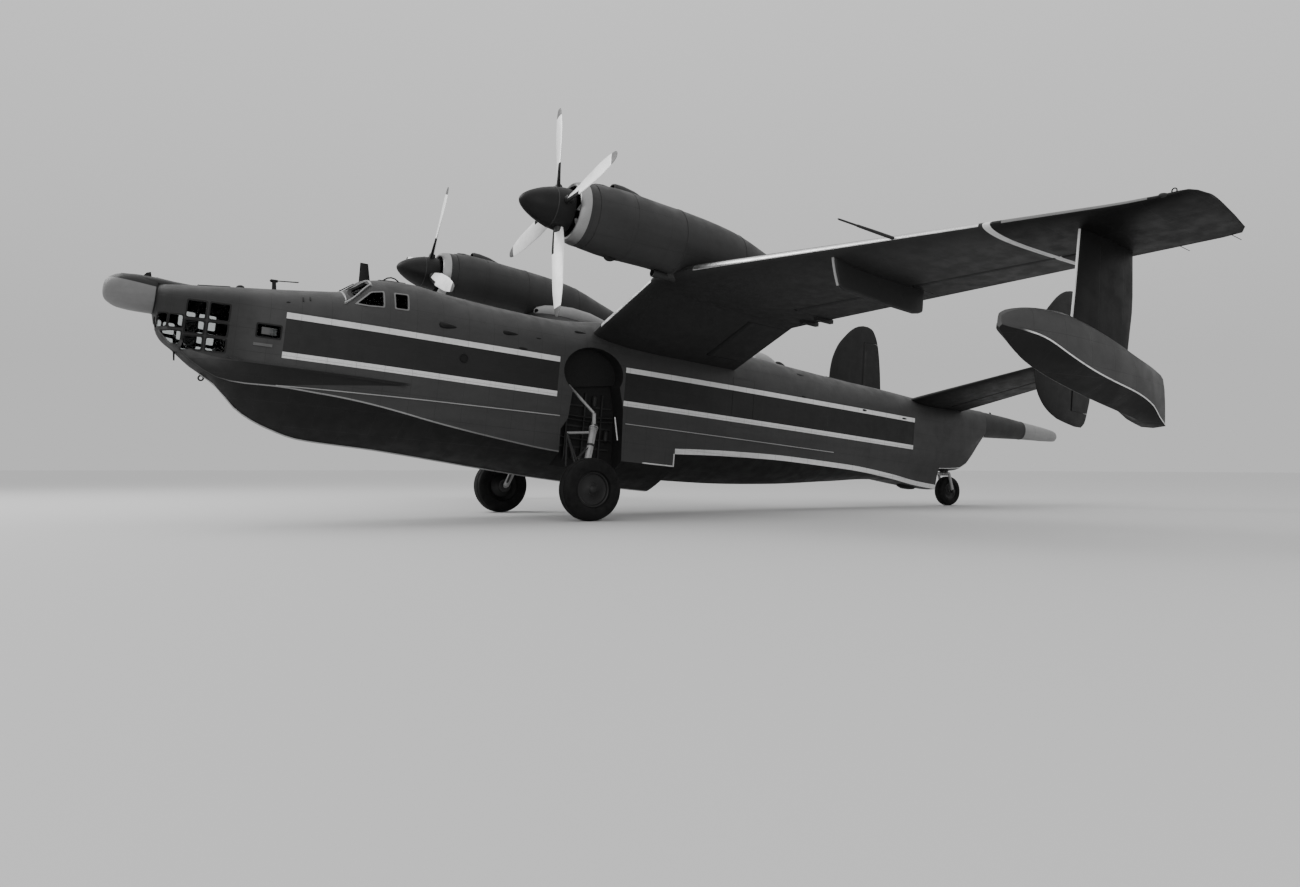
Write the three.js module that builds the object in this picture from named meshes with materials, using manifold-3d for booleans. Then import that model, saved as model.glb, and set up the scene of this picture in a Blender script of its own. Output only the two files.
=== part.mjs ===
// Twin-turboprop flying boat, parked on its wheels. Millimetres, +Z up, port side +X, bow towards -Y.
// The airframe is drawn in its own level axes: x outboard, s aft from the bow, w up from the datum.
// One group then tips it nose-up to its parked attitude, and the wheels stand on the ground at z = 0.
import * as THREE from 'three';
import { mergeVertices } from 'three/addons/utils/BufferGeometryUtils.js';
import Module from 'manifold-3d';

const wasm = await Module();
wasm.setup();

// Driving dimensions
const PARK_ANGLE = THREE.MathUtils.degToRad(5.2);
const BOW_Y = -15032.9;
const DATUM_Z = 4830;
const SEAT_GAP = 0.3;
const MOVING_GAP = 9;
const SKIN = 55;

const NOSE_FRONT = 985;
const RADOME_RISE = 30;
const NOSE_REAR = 3400;
const FORWARD_REAR = 9600;
const MAIN_STEP = 13310;
const AFT_HULL_REAR = 23850;
const HULL_REAR = 26120;
const BOOM_COLLAR = 28220;
const BOOM_TIP = 30150;

const NACELLE_X = 4164;
const HUB_S = 8040;
const HUB_W = 2600;
const THRUST_TILT = THREE.MathUtils.degToRad(-1.4);
const PROP_RADIUS = 2474;
const SPINNER_LENGTH = 917;
const SPINNER_RADIUS = 470;
const SPINNER_REAR = 190;
const PROP_TURN_PORT = THREE.MathUtils.degToRad(-13);
const PROP_TURN_STARBOARD = THREE.MathUtils.degToRad(19);

const FLOAT_X = 12850;
const STORE_PYLON_X = 8400;
const PITOT_X = 9820;
const FIN_X = 4390;

const MAIN_WHEEL = { x: 2610, y: 9860, radius: 726, width: 500, rim: 400, bore: 62 };
const TAIL_WHEEL = { x: 0, y: 24490, radius: 475, width: 330, rim: 255, bore: 36 };
const TYRE_SIDES = 24;
const AXLE_CLEARANCE = 0.9;

// Materials
function paint(color, roughness, metalness = 0) {
  return new THREE.MeshStandardMaterial({ color, roughness, metalness });
}

const MATERIAL = {
  hull: paint(0x777a7c, 0.55),
  wing: paint(0x707375, 0.55),
  radome: paint(0xd5d4cf, 0.5),
  light: paint(0xc9c9c6, 0.5),
  metal: paint(0xb8babb, 0.35, 0.9),
  blade: paint(0xc4c5c4, 0.4, 0.6),
  spinner: paint(0x2b2c2d, 0.5),
  engine: paint(0x55585a, 0.6, 0.8),
  gear: paint(0x9a9c9d, 0.45, 0.5),
  rubber: paint(0x17181a, 0.85),
  glass: paint(0x9aa4a8, 0.1),
  seat: paint(0x3a352f, 0.8),
  panel: paint(0x2a2d2f, 0.7),
};

// Solids and meshes
function toSolid(geometry) {
  const bare = geometry.clone();
  for (const name of Object.keys(bare.attributes)) {
    if (name !== 'position') bare.deleteAttribute(name);
  }
  const welded = mergeVertices(bare, 1e-3);
  return new wasm.Manifold(new wasm.Mesh({
    numProp: 3,
    vertProperties: new Float32Array(welded.attributes.position.array),
    triVerts: new Uint32Array(welded.index.array),
  }));
}

function toGeometry(solid) {
  const mesh = solid.getMesh();
  const geometry = new THREE.BufferGeometry();
  geometry.setAttribute('position', new THREE.BufferAttribute(new Float32Array(mesh.vertProperties), 3));
  geometry.setIndex(new THREE.BufferAttribute(new Uint32Array(mesh.triVerts), 1));
  geometry.computeVertexNormals();
  return geometry;
}

function join(...solids) {
  return solids.reduce((whole, piece) => whole.add(piece));
}

function cut(solid, ...tools) {
  return tools.reduce((left, tool) => left.subtract(tool), solid);
}

// A closed loft through rings of points that all have the same count, capped by fans at both ends.
// The quads of the second half are split the other way, so a ring with left-right symmetry keeps it.
function loft(rings) {
  const count = rings[0].length;
  const points = rings.flat();
  const index = [];
  for (let r = 0; r + 1 < rings.length; r += 1) {
    for (let i = 0; i < count; i += 1) {
      const a = r * count + i;
      const b = r * count + ((i + 1) % count);
      const split = i < count / 2 ? [a, b, a + count, b, b + count, a + count]
        : [a, b, b + count, a, b + count, a + count];
      index.push(...split);
    }
  }
  for (const [start, flip] of [[0, true], [(rings.length - 1) * count, false]]) {
    const centre = new THREE.Vector3();
    for (let i = 0; i < count; i += 1) centre.addScaledVector(points[start + i], 1 / count);
    points.push(centre);
    const hub = points.length - 1;
    for (let i = 0; i < count; i += 1) {
      const a = start + i;
      const b = start + ((i + 1) % count);
      index.push(...(flip ? [hub, b, a] : [hub, a, b]));
    }
  }
  const geometry = new THREE.BufferGeometry();
  geometry.setAttribute('position', new THREE.BufferAttribute(
    new Float32Array(points.flatMap((p) => [p.x, p.y, p.z])), 3));
  geometry.setIndex(index);
  const solid = toSolid(geometry);
  if (solid.volume() > 0) return solid;
  for (let t = 0; t < index.length; t += 3) index.splice(t, 3, index[t], index[t + 2], index[t + 1]);
  geometry.setIndex(index);
  return toSolid(geometry);
}

function box(x0, x1, s0, s1, w0, w1) {
  const geometry = new THREE.BoxGeometry(x1 - x0, s1 - s0, w1 - w0);
  return toSolid(geometry.translate((x0 + x1) / 2, (s0 + s1) / 2, (w0 + w1) / 2));
}

function bothSides(solid) {
  return join(solid, solid.mirror([1, 0, 0]));
}

function rod(from, to, radius, endRadius = radius, sides = 12) {
  const a = new THREE.Vector3(...from);
  const b = new THREE.Vector3(...to);
  const along = b.clone().sub(a);
  const geometry = new THREE.CylinderGeometry(endRadius, radius, along.length(), sides);
  geometry.translate(0, along.length() / 2, 0);
  geometry.applyQuaternion(new THREE.Quaternion().setFromUnitVectors(
    new THREE.Vector3(0, 1, 0), along.normalize()));
  geometry.translate(a.x, a.y, a.z);
  return toSolid(geometry);
}

// A body turned about the +Y line through the origin; rows are [along, radius] and start and end on it
function turned(rows, sides) {
  const profile = rows.map(([along, radius]) => new THREE.Vector2(radius, along));
  return toSolid(new THREE.LatheGeometry(profile, sides));
}

// A ground point [x, y from the bow, z above the ground] in the airframe's level axes
function level([x, y, z]) {
  const up = z - DATUM_Z;
  return [
    x,
    y * Math.cos(PARK_ANGLE) - up * Math.sin(PARK_ANGLE),
    y * Math.sin(PARK_ANGLE) + up * Math.cos(PARK_ANGLE),
  ];
}

// Hull
// columns: s, deck, shoulder, half width, crease half width, crease, chine half width, chine, keel
const HULL = [
  [NOSE_FRONT, 295, -40, 430, 400, -250, 330, -320, -370],
  [1060, 305, -60, 540, 500, -440, 330, -590, -680],
  [1180, 315, -80, 640, 600, -620, 380, -790, -880],
  [1400, 335, -100, 740, 700, -800, 420, -960, -1040],
  [1800, 385, -120, 860, 830, -1100, 330, -1260, -1350],
  [2300, 450, -140, 960, 950, -1170, 330, -1520, -1640],
  [2850, 520, -150, 1050, 1040, -1175, 620, -1610, -2160],
  [3400, 590, -150, 1120, 1110, -1180, 830, -1610, -2430],
  [4200, 705, -150, 1180, 1180, -1190, 1010, -1660, -2640],
  [4660, 780, -140, 1205, 1205, -1200, 1070, -1690, -2665],
  [5180, 1140, -130, 1230, 1230, -1215, 1120, -1740, -2680],
  [5700, 1230, -120, 1245, 1245, -1230, 1160, -1810, -2695],
  [6800, 1262, -100, 1250, 1250, -1260, 1200, -1990, -2760],
  [8400, 1255, -80, 1250, 1250, -1330, 1230, -2200, -2870],
  [9800, 1260, -80, 1250, 1250, -1400, 1240, -2335, -2960],
  [11500, 1245, -80, 1250, 1250, -1440, 1240, -2400, -3030],
  [13310, 1215, -90, 1245, 1245, -1440, 1230, -2400, -3050],
];

const AFT_HULL = [
  [13310, 1215, -90, 1245, 1245, -1300, 1215, -2065, -2740],
  [15000, 1130, -110, 1200, 1200, -1230, 1150, -1955, -2690],
  [17440, 970, -130, 1090, 1090, -1150, 1010, -1878, -2510],
  [19600, 850, -130, 950, 940, -1100, 830, -1885, -2250],
  [21550, 780, -120, 790, 770, -1100, 610, -1980, -2040],
  [22850, 710, -100, 670, 640, -1150, 430, -2095, -2110],
  [AFT_HULL_REAR, 690, -60, 570, 530, -1250, 330, -2140, -2155],
];

const TAIL_HULL = [
  [23800, 691, -62, 575, 533, -905, 332, -1484, -1565],
  [25050, 680, 40, 450, 420, -700, 260, -1340, -1420],
  [26120, 675, 160, 350, 340, -80, 260, -190, -240],
];

const DECK_STEPS = 7;

function hullRing([s, deck, shoulder, half, creaseHalf, crease, chineHalf, chine, keel], inset) {
  const side = [];
  for (let i = 0; i < DECK_STEPS; i += 1) {
    const angle = (Math.PI / 2) * (i / (DECK_STEPS - 1));
    const round = 0.9;
    side.push([
      (half - inset) * Math.sin(angle) ** round,
      shoulder + (deck - inset - shoulder) * Math.cos(angle) ** round,
    ]);
  }
  side.push([creaseHalf - inset, crease]);
  side.push([chineHalf - inset, chine + inset * 0.6]);
  side.push([(chineHalf - inset) * 0.5, (chine * 0.42 + keel * 0.58) + inset]);
  const keelPoint = [0, keel + inset];
  const port = side.map(([x, w]) => new THREE.Vector3(x, s, w));
  const starboard = side.slice(1).reverse().map(([x, w]) => new THREE.Vector3(-x, s, w));
  return [...port, new THREE.Vector3(keelPoint[0], s, keelPoint[1]), ...starboard];
}

function hullBody(rows, inset = 0) {
  return loft(rows.map((row) => hullRing(row, inset)));
}

const FAR = 40000;

function between(solid, s0, s1) {
  return solid.intersect(box(-FAR, FAR, s0, s1, -FAR, FAR));
}

const bowBody = hullBody(HULL);
const bowCore = hullBody(HULL, SKIN);
const bowOuter = hullBody(HULL, -SEAT_GAP);
const aftOuter = join(hullBody(AFT_HULL, -SEAT_GAP), hullBody(TAIL_HULL, -SEAT_GAP));

// Glazed nose: windows as [from, to] pairs along s or x and along w
const NOSE_SIDE_COLUMNS = [[1540, 1880], [1960, 2320]];
const NOSE_SIDE_ROWS = [[-400, -60], [-700, -470], [-1040, -790]];
const NOSE_SIDE_WINDOW = { s: [2880, 3340], w: [-650, -370] };
const NOSE_CORNER_PANE = { s: [1250, 1440], w: [-665, -570] };
const NOSE_FRONT_PANES = [
  { x: [60, 250], w: [-640, -470] },
  { x: [60, 330], w: [-950, -740] },
];
const NOSE_INNER = [1090, NOSE_REAR];

function noseWindows(grow) {
  const tools = [];
  for (const [s0, s1] of NOSE_SIDE_COLUMNS) {
    for (const [w0, w1] of NOSE_SIDE_ROWS) {
      tools.push(box(350, 1500, s0 - grow, s1 + grow, w0 - grow, w1 + grow));
    }
  }
  for (const [{ s, w }, inner] of [[NOSE_SIDE_WINDOW, 700], [NOSE_CORNER_PANE, 350]]) {
    tools.push(box(inner, 1500, s[0] - grow, s[1] + grow, w[0] - grow, w[1] + grow));
  }
  for (const pane of NOSE_FRONT_PANES) {
    tools.push(box(pane.x[0] - grow, pane.x[1] + grow, 900, 1500, pane.w[0] - grow, pane.w[1] + grow));
  }
  return bothSides(join(...tools));
}

function noseCavity(inset) {
  return between(hullBody(HULL, inset), NOSE_INNER[0] + inset - SKIN, NOSE_INNER[1] + 10)
    .intersect(box(-FAR, FAR, 0, FAR, -1250 + inset - SKIN, FAR));
}

function noseShell() {
  const whole = between(bowBody, 980, NOSE_REAR);
  return cut(whole, noseCavity(SKIN), noseWindows(0));
}

// The panes are one thin liner pressed against the inside of the frames
const PANE = 8;
const PANE_GAP = 0.8;

function noseGlass() {
  const outer = noseCavity(SKIN + PANE_GAP);
  const inner = noseCavity(SKIN + PANE);
  const reach = between(cut(outer, inner), 1000, NOSE_INNER[1] - 30);
  return reach.intersect(box(-FAR, FAR, 0, FAR, -1130, 40));
}

// Cockpit
const COCKPIT = { from: 4610, to: 6700, sill: 430, floor: -560, rear: 6640 };
const SIDE_WINDOWS = [{ s: [4990, 5460], w: [500, 860] }, { s: [5690, 6010], w: [480, 840] }];
const WINDSCREEN_PANES = [{ x: [60, 450], w: [810, 1050] }, { x: [510, 900], w: [600, 930] }];

function cockpitBox(gap) {
  return box(-FAR, FAR, COCKPIT.from - gap, COCKPIT.to + gap, COCKPIT.sill - gap, FAR);
}

function cockpitCavity(inset) {
  const room = box(-FAR, FAR, COCKPIT.from + inset, COCKPIT.rear - inset + SKIN, COCKPIT.floor, FAR);
  return hullBody(HULL, inset).intersect(room);
}

function canopyWindows() {
  const sides = SIDE_WINDOWS.map(({ s, w }) => box(300, 1500, s[0], s[1], w[0], w[1]));
  const front = WINDSCREEN_PANES.map(({ x, w }) => box(x[0], x[1], 4400, 5200, w[0], w[1]));
  return bothSides(join(...sides, ...front));
}

function hullForward() {
  const whole = between(bowBody, NOSE_REAR + SEAT_GAP, FORWARD_REAR);
  return cut(whole, cockpitBox(0), cockpitCavity(SKIN));
}

function canopyFrame() {
  const whole = bowBody.intersect(cockpitBox(-SEAT_GAP));
  return cut(whole, cockpitCavity(SKIN), canopyWindows());
}

function canopyGlass() {
  const liner = cut(cockpitCavity(SKIN + PANE_GAP), cockpitCavity(SKIN + PANE));
  return liner.intersect(box(-FAR, FAR, 4400, 6200, COCKPIT.sill + 5, FAR));
}

function seat(x, s, w) {
  const base = box(x - 210, x + 210, s - 220, s + 220, w, w + 380);
  const back = box(x - 220, x + 220, s + 200, s + 320, w + 300, w + 1080);
  return join(base, back);
}

function cockpitSeats() {
  const floor = COCKPIT.floor + SEAT_GAP;
  const rail = box(-700, 700, 5480, 5560, floor, floor + 60);
  return join(seat(470, 5620, floor), seat(-470, 5620, floor), rail);
}

function instrumentPanel() {
  const floor = COCKPIT.floor + SEAT_GAP;
  const board = box(-760, 760, 4870, 4990, 80, 560);
  const pedestal = box(-150, 150, 4900, 5350, floor, 120);
  const columns = [470, -470].map((x) => join(
    rod([x, 5120, floor + 20], [x, 5120, 330], 24),
    rod([x - 150, 5120, 330], [x + 150, 5120, 330], 22),
    box(x - 30, x + 30, 4980, 5160, floor, floor + 40),
  ));
  const toeboard = box(-760, 760, 4900, 5000, floor, floor + 30);
  const posts = box(-700, 700, 4920, 4980, floor, 100);
  return join(board, pedestal, toeboard, posts, ...columns);
}

function navigatorSeat() {
  const floor = -1250 + SEAT_GAP;
  return join(seat(0, 2450, floor), box(-230, 230, 1900, 2300, floor, floor + 40));
}

// Wheel and leg bays in the hull side, outlines in [s, w]
const WHEEL_BAY = { s: 10760, w: -310, along: 830, up: 640, depth: 420 };
const LEG_BAY = { fore: 10180, aft: 11640, top: -800, depth: 520 };

function gearBays() {
  const wheel = new THREE.CylinderGeometry(1, 1, 800, 24);
  wheel.rotateZ(Math.PI / 2);
  wheel.scale(1, WHEEL_BAY.along, WHEEL_BAY.up);
  wheel.translate(1250 - WHEEL_BAY.depth + 400, WHEEL_BAY.s, WHEEL_BAY.w);
  const legRoom = box(1250 - LEG_BAY.depth, 1700, LEG_BAY.fore, LEG_BAY.aft, -3500, LEG_BAY.top);
  return bothSides(join(toSolid(wheel), legRoom));
}

function hullCentre(legs) {
  return cut(between(bowBody, FORWARD_REAR + SEAT_GAP, MAIN_STEP), gearBays(), legs);
}

function hullAft() {
  return between(hullBody(AFT_HULL), MAIN_STEP + SEAT_GAP, FAR);
}

function hullTail() {
  return between(hullBody(TAIL_HULL), AFT_HULL_REAR + SEAT_GAP, FAR);
}

// Tail boom; rows are [s, top, bottom]
const BOOM = [
  [HULL_REAR + SEAT_GAP, 665, -215],
  [27200, 625, -140],
  [BOOM_COLLAR, 560, -65],
  [29700, 460, 20],
  [30050, 405, 55],
  [BOOM_TIP, 330, 130],
];

const BOOM_SIDES = 16;

function boomBody() {
  return loft(BOOM.map(([s, top, bottom]) => {
    const radius = (top - bottom) / 2;
    return Array.from({ length: BOOM_SIDES }, (_, i) => {
      const angle = (i / BOOM_SIDES) * 2 * Math.PI;
      return new THREE.Vector3(
        radius * 0.78 * Math.cos(angle), s, (top + bottom) / 2 + radius * Math.sin(angle));
    });
  }));
}

function radome() {
  const rear = NOSE_FRONT - SEAT_GAP;
  const rows = [[12, 0], [20, 110], [42, 180], [140, 280], [300, 350], [640, 382], [rear, 384], [rear, 0]];
  return turned(rows, 24).translate([0, 0, RADOME_RISE]);
}

// Wing
// columns: x, leading edge s, w, trailing edge s, w, greatest thickness
const WING = [
  [600, 10790, 605, 15110, 225, 640],
  [1200, 10800, 850, 15090, 435, 640],
  [3550, 10920, 1790, 15020, 1265, 600],
  [NACELLE_X, 10950, 1775, 15010, 1280, 590],
  [4950, 11000, 1750, 15000, 1290, 570],
  [9400, 12090, 1725, 15000, 1370, 380],
  [13700, 13134.3, 1703.06, 15000, 1444.59, 213.27],
  [14300, 13205, 1702, 15005, 1457, 190],
  [14620, 13200, 1702, 14965, 1466, 160],
  [14760, 13215, 1700, 14780, 1488, 130],
  [14850, 13290, 1692, 14330, 1550, 80],
  [14920, 13500, 1672, 13880, 1615, 40],
];
const WING_SIDE_POINTS = 7;

// Thickness of a streamlined section at a share of its chord, as a share of its greatest thickness
function streamline(share) {
  const t = 5 * (0.2969 * Math.sqrt(share) - 0.126 * share - 0.3516 * share ** 2
    + 0.2843 * share ** 3 - 0.1036 * share ** 4);
  return Math.max(t, 0.012);
}

function foilRing(front, rear, thickness, acrossAxis, grow = 0) {
  const chord = rear.clone().sub(front);
  const up = chord.clone().cross(acrossAxis).normalize();
  const upper = [];
  const lower = [];
  for (let i = 0; i <= WING_SIDE_POINTS; i += 1) {
    const share = (1 - Math.cos((Math.PI * i) / WING_SIDE_POINTS)) / 2;
    const half = i === 0 ? 0 : thickness * streamline(share) + grow;
    const camber = 0.12 * thickness * Math.sin(Math.PI * share);
    const point = front.clone().addScaledVector(chord, share);
    upper.push(point.clone().addScaledVector(up, camber + half));
    if (i > 0) lower.push(point.clone().addScaledVector(up, camber - half));
  }
  return [...upper, ...lower.reverse()];
}

function wingRing([x, leS, leW, teS, teW, thick], grow = 0) {
  return foilRing(new THREE.Vector3(x, leS - grow, leW), new THREE.Vector3(x, teS + grow, teW),
    thick, new THREE.Vector3(-1, 0, 0), grow);
}

function wingBody(grow = 0) {
  return loft(WING.map((row) => wingRing(row, grow)));
}

function wingAt(x, share) {
  const after = WING.findIndex((row) => row[0] >= x);
  const low = WING[after - 1];
  const high = WING[after];
  const t = (x - low[0]) / (high[0] - low[0]);
  const [, leS, leW, teS, teW, thick] = low.map((v, i) => v + (high[i] - v) * t);
  return {
    point: new THREE.Vector3(x, leS + (teS - leS) * share, leW + (teW - leW) * share
      + 0.12 * thick * Math.sin(Math.PI * share)),
    half: thick * streamline(share),
  };
}

// Control surfaces hinge on the line from a to b; nose radii are given at both ends
function hingeRegion(hinge, front, back, lengthen) {
  const a = hinge.a.point;
  const b = hinge.b.point;
  const along = b.clone().sub(a).normalize();
  const aft = new THREE.Vector3(0, 1, 0).addScaledVector(along, -along.y).normalize();
  const up = along.clone().cross(aft).normalize();
  const tall = 900;
  const ring = (end, sign, radius) => {
    const base = end.clone().addScaledVector(along, sign * lengthen);
    const reach = front === null ? 0 : radius + front;
    return [[-reach, -tall], [back, -tall], [back, tall], [-reach, tall]].map(([y, z]) => (
      base.clone().addScaledVector(aft, y).addScaledVector(up, z)));
  };
  return loft([ring(a, -1, hinge.a.half), ring(b, 1, hinge.b.half)]);
}

const NOSE_SHARE = 0.97;
const HINGE_PIN = { radius: 10, reach: 50, sides: 8, clearance: 0.95 };

// The pins at both ends of a control surface, or with grow the bores that they turn in
function hingePins(hinge, grow) {
  const a = hinge.a.point;
  const b = hinge.b.point;
  const along = b.clone().sub(a).normalize();
  const pin = (end, sign) => {
    const tip = end.clone().addScaledVector(along, sign * (HINGE_PIN.reach + grow));
    const root = end.clone().addScaledVector(along, -sign * HINGE_PIN.radius);
    const radius = HINGE_PIN.radius + grow;
    return rod(root.toArray(), tip.toArray(), radius, radius, HINGE_PIN.sides);
  };
  return join(pin(a, -1), pin(b, 1));
}

function controlSurface(whole, hinge) {
  const rear = whole.intersect(hingeRegion(hinge, null, 3000, 0));
  const nose = rod(hinge.a.point.toArray(), hinge.b.point.toArray(),
    hinge.a.half * NOSE_SHARE, hinge.b.half * NOSE_SHARE, 16);
  return join(rear, nose, hingePins(hinge, 0));
}

function cove(hinge) {
  const gap = hingeRegion(hinge, MOVING_GAP, 3000, MOVING_GAP);
  return join(gap, hingePins(hinge, HINGE_PIN.clearance));
}

const FLAP_SHARE = 0.74;
const INNER_FLAP = { a: wingAt(1560, FLAP_SHARE), b: wingAt(3330, FLAP_SHARE) };
const OUTER_FLAP = { a: wingAt(5050, FLAP_SHARE), b: wingAt(STORE_PYLON_X - 110, FLAP_SHARE) };
const AILERON_SHARE = 0.73;
const AILERON = {
  a: wingAt(STORE_PYLON_X + 110, AILERON_SHARE),
  b: wingAt(FLOAT_X - 150, AILERON_SHARE),
};

const wingPort = wingBody();
const wingFat = wingBody(SEAT_GAP);
const wingBare = cut(wingPort, cove(INNER_FLAP), cove(OUTER_FLAP), cove(AILERON));

function wingInner() {
  return cut(wingBare.intersect(box(0, NACELLE_X - SEAT_GAP, 0, FAR, -FAR, FAR)), bowOuter, aftOuter);
}

function wingOuter() {
  return wingBare.intersect(box(NACELLE_X, FAR, 0, FAR, -FAR, FAR));
}

// Nacelles; columns: s, top, bottom, half width
const NACELLE = [
  [8620, 3290, 1890, 690],
  [9300, 3330, 1815, 745],
  [10400, 3260, 1785, 745],
  [11300, 3200, 1700, 720],
  [12400, 3060, 1650, 640],
  [13600, 2680, 1600, 500],
  [14700, 2300, 1500, 330],
];
const COWL = { front: 8270, rear: 8700, lip: 615, inner: 560, outer: 693 };
const ENGINE = { radius: 430, front: 8950, rear: 11500, bay: 560 };
const NACELLE_SIDES = 20;

function nacelleRing([s, top, bottom, half]) {
  const middle = (top + bottom) / 2;
  const tall = (top - bottom) / 2;
  return Array.from({ length: NACELLE_SIDES }, (_, i) => {
    const angle = (i / NACELLE_SIDES) * 2 * Math.PI;
    return new THREE.Vector3(NACELLE_X + half * Math.sin(angle), s, middle + tall * Math.cos(angle));
  });
}

// Moves a solid turned about +Y, with its origin at the propeller hub, to the port thrust line
function toThrustLine(solid) {
  return solid.rotate([THREE.MathUtils.radToDeg(THRUST_TILT), 0, 0]).translate([NACELLE_X, HUB_S, HUB_W]);
}

function engineRod(radius, from, to) {
  return toThrustLine(rod([0, from - HUB_S, 0], [0, to - HUB_S, 0], radius, radius, 24));
}

function nacelle() {
  const bore = engineRod(ENGINE.bay, 8000, ENGINE.rear + SEAT_GAP);
  const pipe = rod([NACELLE_X, 14000, 2180], [NACELLE_X, 15000, 2060], 190, 190, 20);
  const mouth = rod([NACELLE_X, 14400, 2132], [NACELLE_X, 15100, 2048], 165, 165, 20);
  const scoop = loft([[9250, 3300, 3360, 60], [9400, 3150, 3440, 150], [10150, 3150, 3330, 110]].map(
    ([s, low, high, half]) => [[-half, low], [half, low], [half * 0.7, high], [-half * 0.7, high]].map(
      ([x, w]) => new THREE.Vector3(NACELLE_X + x, s, w))));
  const body = join(loft(NACELLE.map(nacelleRing)), pipe, scoop);
  const ringRoom = engineRod(1200, 8000, COWL.rear);
  return cut(body, wingFat, bore, mouth, ringRoom);
}

function cowlRing() {
  const { front, rear, lip, inner, outer } = COWL;
  const rows = [[rear - SEAT_GAP, inner], [front + 60, inner - 20], [front, lip - 25], [front + 10, lip],
    [front + 90, outer - 40], [front + 220, outer - 8], [rear - SEAT_GAP, outer], [rear - SEAT_GAP, inner]];
  return toThrustLine(turned(rows.map(([s, r]) => [s - HUB_S, r]), NACELLE_SIDES));
}

function engineBlock() {
  const core = engineRod(ENGINE.radius, ENGINE.front, ENGINE.rear);
  const gearbox = engineRod(250, 8560, ENGINE.front + 20);
  const shaft = engineRod(90, HUB_S + SPINNER_REAR + SEAT_GAP, 8580);
  return join(core, gearbox, shaft);
}

// Propellers, drawn about +Y with the hub at the origin
const BLADES = 4;
const BLADE_SIDES = 8;
const BLADE_ROWS = [
  // radius, chord, thickness, twist in degrees from the disc plane
  [300, 180, 120, 38],
  [650, 290, 88, 27],
  [1100, 380, 62, 16],
  [1700, 385, 40, 9],
  [2250, 270, 24, 4],
  [PROP_RADIUS, 110, 12, 2],
];

function bladeRing([radius, chord, thick, twist]) {
  const angle = THREE.MathUtils.degToRad(twist);
  const across = new THREE.Vector3(Math.cos(angle), -Math.sin(angle), 0);
  const normal = new THREE.Vector3(Math.sin(angle), Math.cos(angle), 0);
  return Array.from({ length: BLADE_SIDES }, (_, i) => {
    const turn = (i / BLADE_SIDES) * 2 * Math.PI;
    return new THREE.Vector3(0, 0, radius)
      .addScaledVector(across, (chord / 2) * Math.cos(turn))
      .addScaledVector(normal, (thick / 2) * Math.sin(turn));
  });
}

function propeller(turn) {
  const r = SPINNER_RADIUS;
  const spinner = turned([[-SPINNER_LENGTH, 0], [-890, 70], [-820, 150], [-650, 262], [-420, 366],
    [-150, 441], [100, r], [SPINNER_REAR, r], [SPINNER_REAR, 0]], 20);
  const blade = loft(BLADE_ROWS.map(bladeRing));
  const blades = Array.from({ length: BLADES }, (_, i) => (
    blade.rotate([0, (360 / BLADES) * i + THREE.MathUtils.radToDeg(turn), 0])));
  return join(spinner, ...blades);
}

// Floats; columns: s, deck, chine, keel, half width
const FLOAT = [
  [11540, -215, -370, -415, 40],
  [11620, -140, -400, -500, 110],
  [11800, -70, -430, -640, 200],
  [12150, -10, -500, -840, 320],
  [12650, 5, -705, -990, 420],
  [13200, -60, -870, -1110, 440],
  [13900, -200, -1005, -1240, 440],
  [14500, -350, -1090, -1330, 400],
  [15000, -455, -1225, -1400, 340],
  [15250, -505, -1375, -1450, 290],
  [15550, -580, -1480, -1505, 210],
];

function floatRing([s, deck, chine, keel, half]) {
  const side = [[0, deck], [half * 0.55, deck - 15], [half * 0.9, deck - (deck - chine) * 0.3],
    [half, chine + (deck - chine) * 0.2], [half, chine]];
  return [
    ...side.map(([x, w]) => new THREE.Vector3(FLOAT_X + x, s, w)),
    new THREE.Vector3(FLOAT_X, s, keel),
    ...side.slice(1).reverse().map(([x, w]) => new THREE.Vector3(FLOAT_X - x, s, w)),
  ];
}

function floatBody(grow = 0) {
  return loft(FLOAT.map(([s, deck, chine, keel, half]) => (
    floatRing([s, deck + grow, chine, keel, half + grow]))));
}

function plateRing(x, w, s0, s1, thick, sides = 12) {
  return Array.from({ length: sides }, (_, i) => {
    const angle = (i / sides) * 2 * Math.PI;
    return new THREE.Vector3(
      x + (thick / 2) * Math.sin(angle), (s0 + s1) / 2 - ((s1 - s0) / 2) * Math.cos(angle), w);
  });
}

// Keeps what lies below the wing's chord line at x
function belowWing(solid, x) {
  const front = wingAt(x, 0).point;
  const chord = wingAt(x, 1).point.sub(front).normalize();
  const down = [0, chord.z, -chord.y];
  return solid.trimByPlane(down, front.y * down[1] + front.z * down[2]);
}

function floatPylon() {
  const blade = loft([plateRing(FLOAT_X, -700, 13180, 14715, 150),
    plateRing(FLOAT_X, 500, 13305, 14875, 160), plateRing(FLOAT_X, 1800, 13410, 14825, 170)]);
  return cut(belowWing(blade, FLOAT_X), wingFat, floatBody(SEAT_GAP)).trimByPlane([0, 0, 1], -500);
}

function storePylon() {
  const blade = loft([plateRing(STORE_PYLON_X, 850, 12250, 14150, 90),
    plateRing(STORE_PYLON_X, 960, 12080, 14300, 150), plateRing(STORE_PYLON_X, 1700, 12000, 14500, 150)]);
  return cut(belowWing(blade, STORE_PYLON_X), wingFat);
}

// Tail
// columns as WING
const TAILPLANE = [
  [-60, 22440, 468, 24925, 440, 300],
  [700, 22540, 625, 24890, 560, 290],
  [FIN_X, 23230, 1395, 24780, 1225, 180],
];
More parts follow.
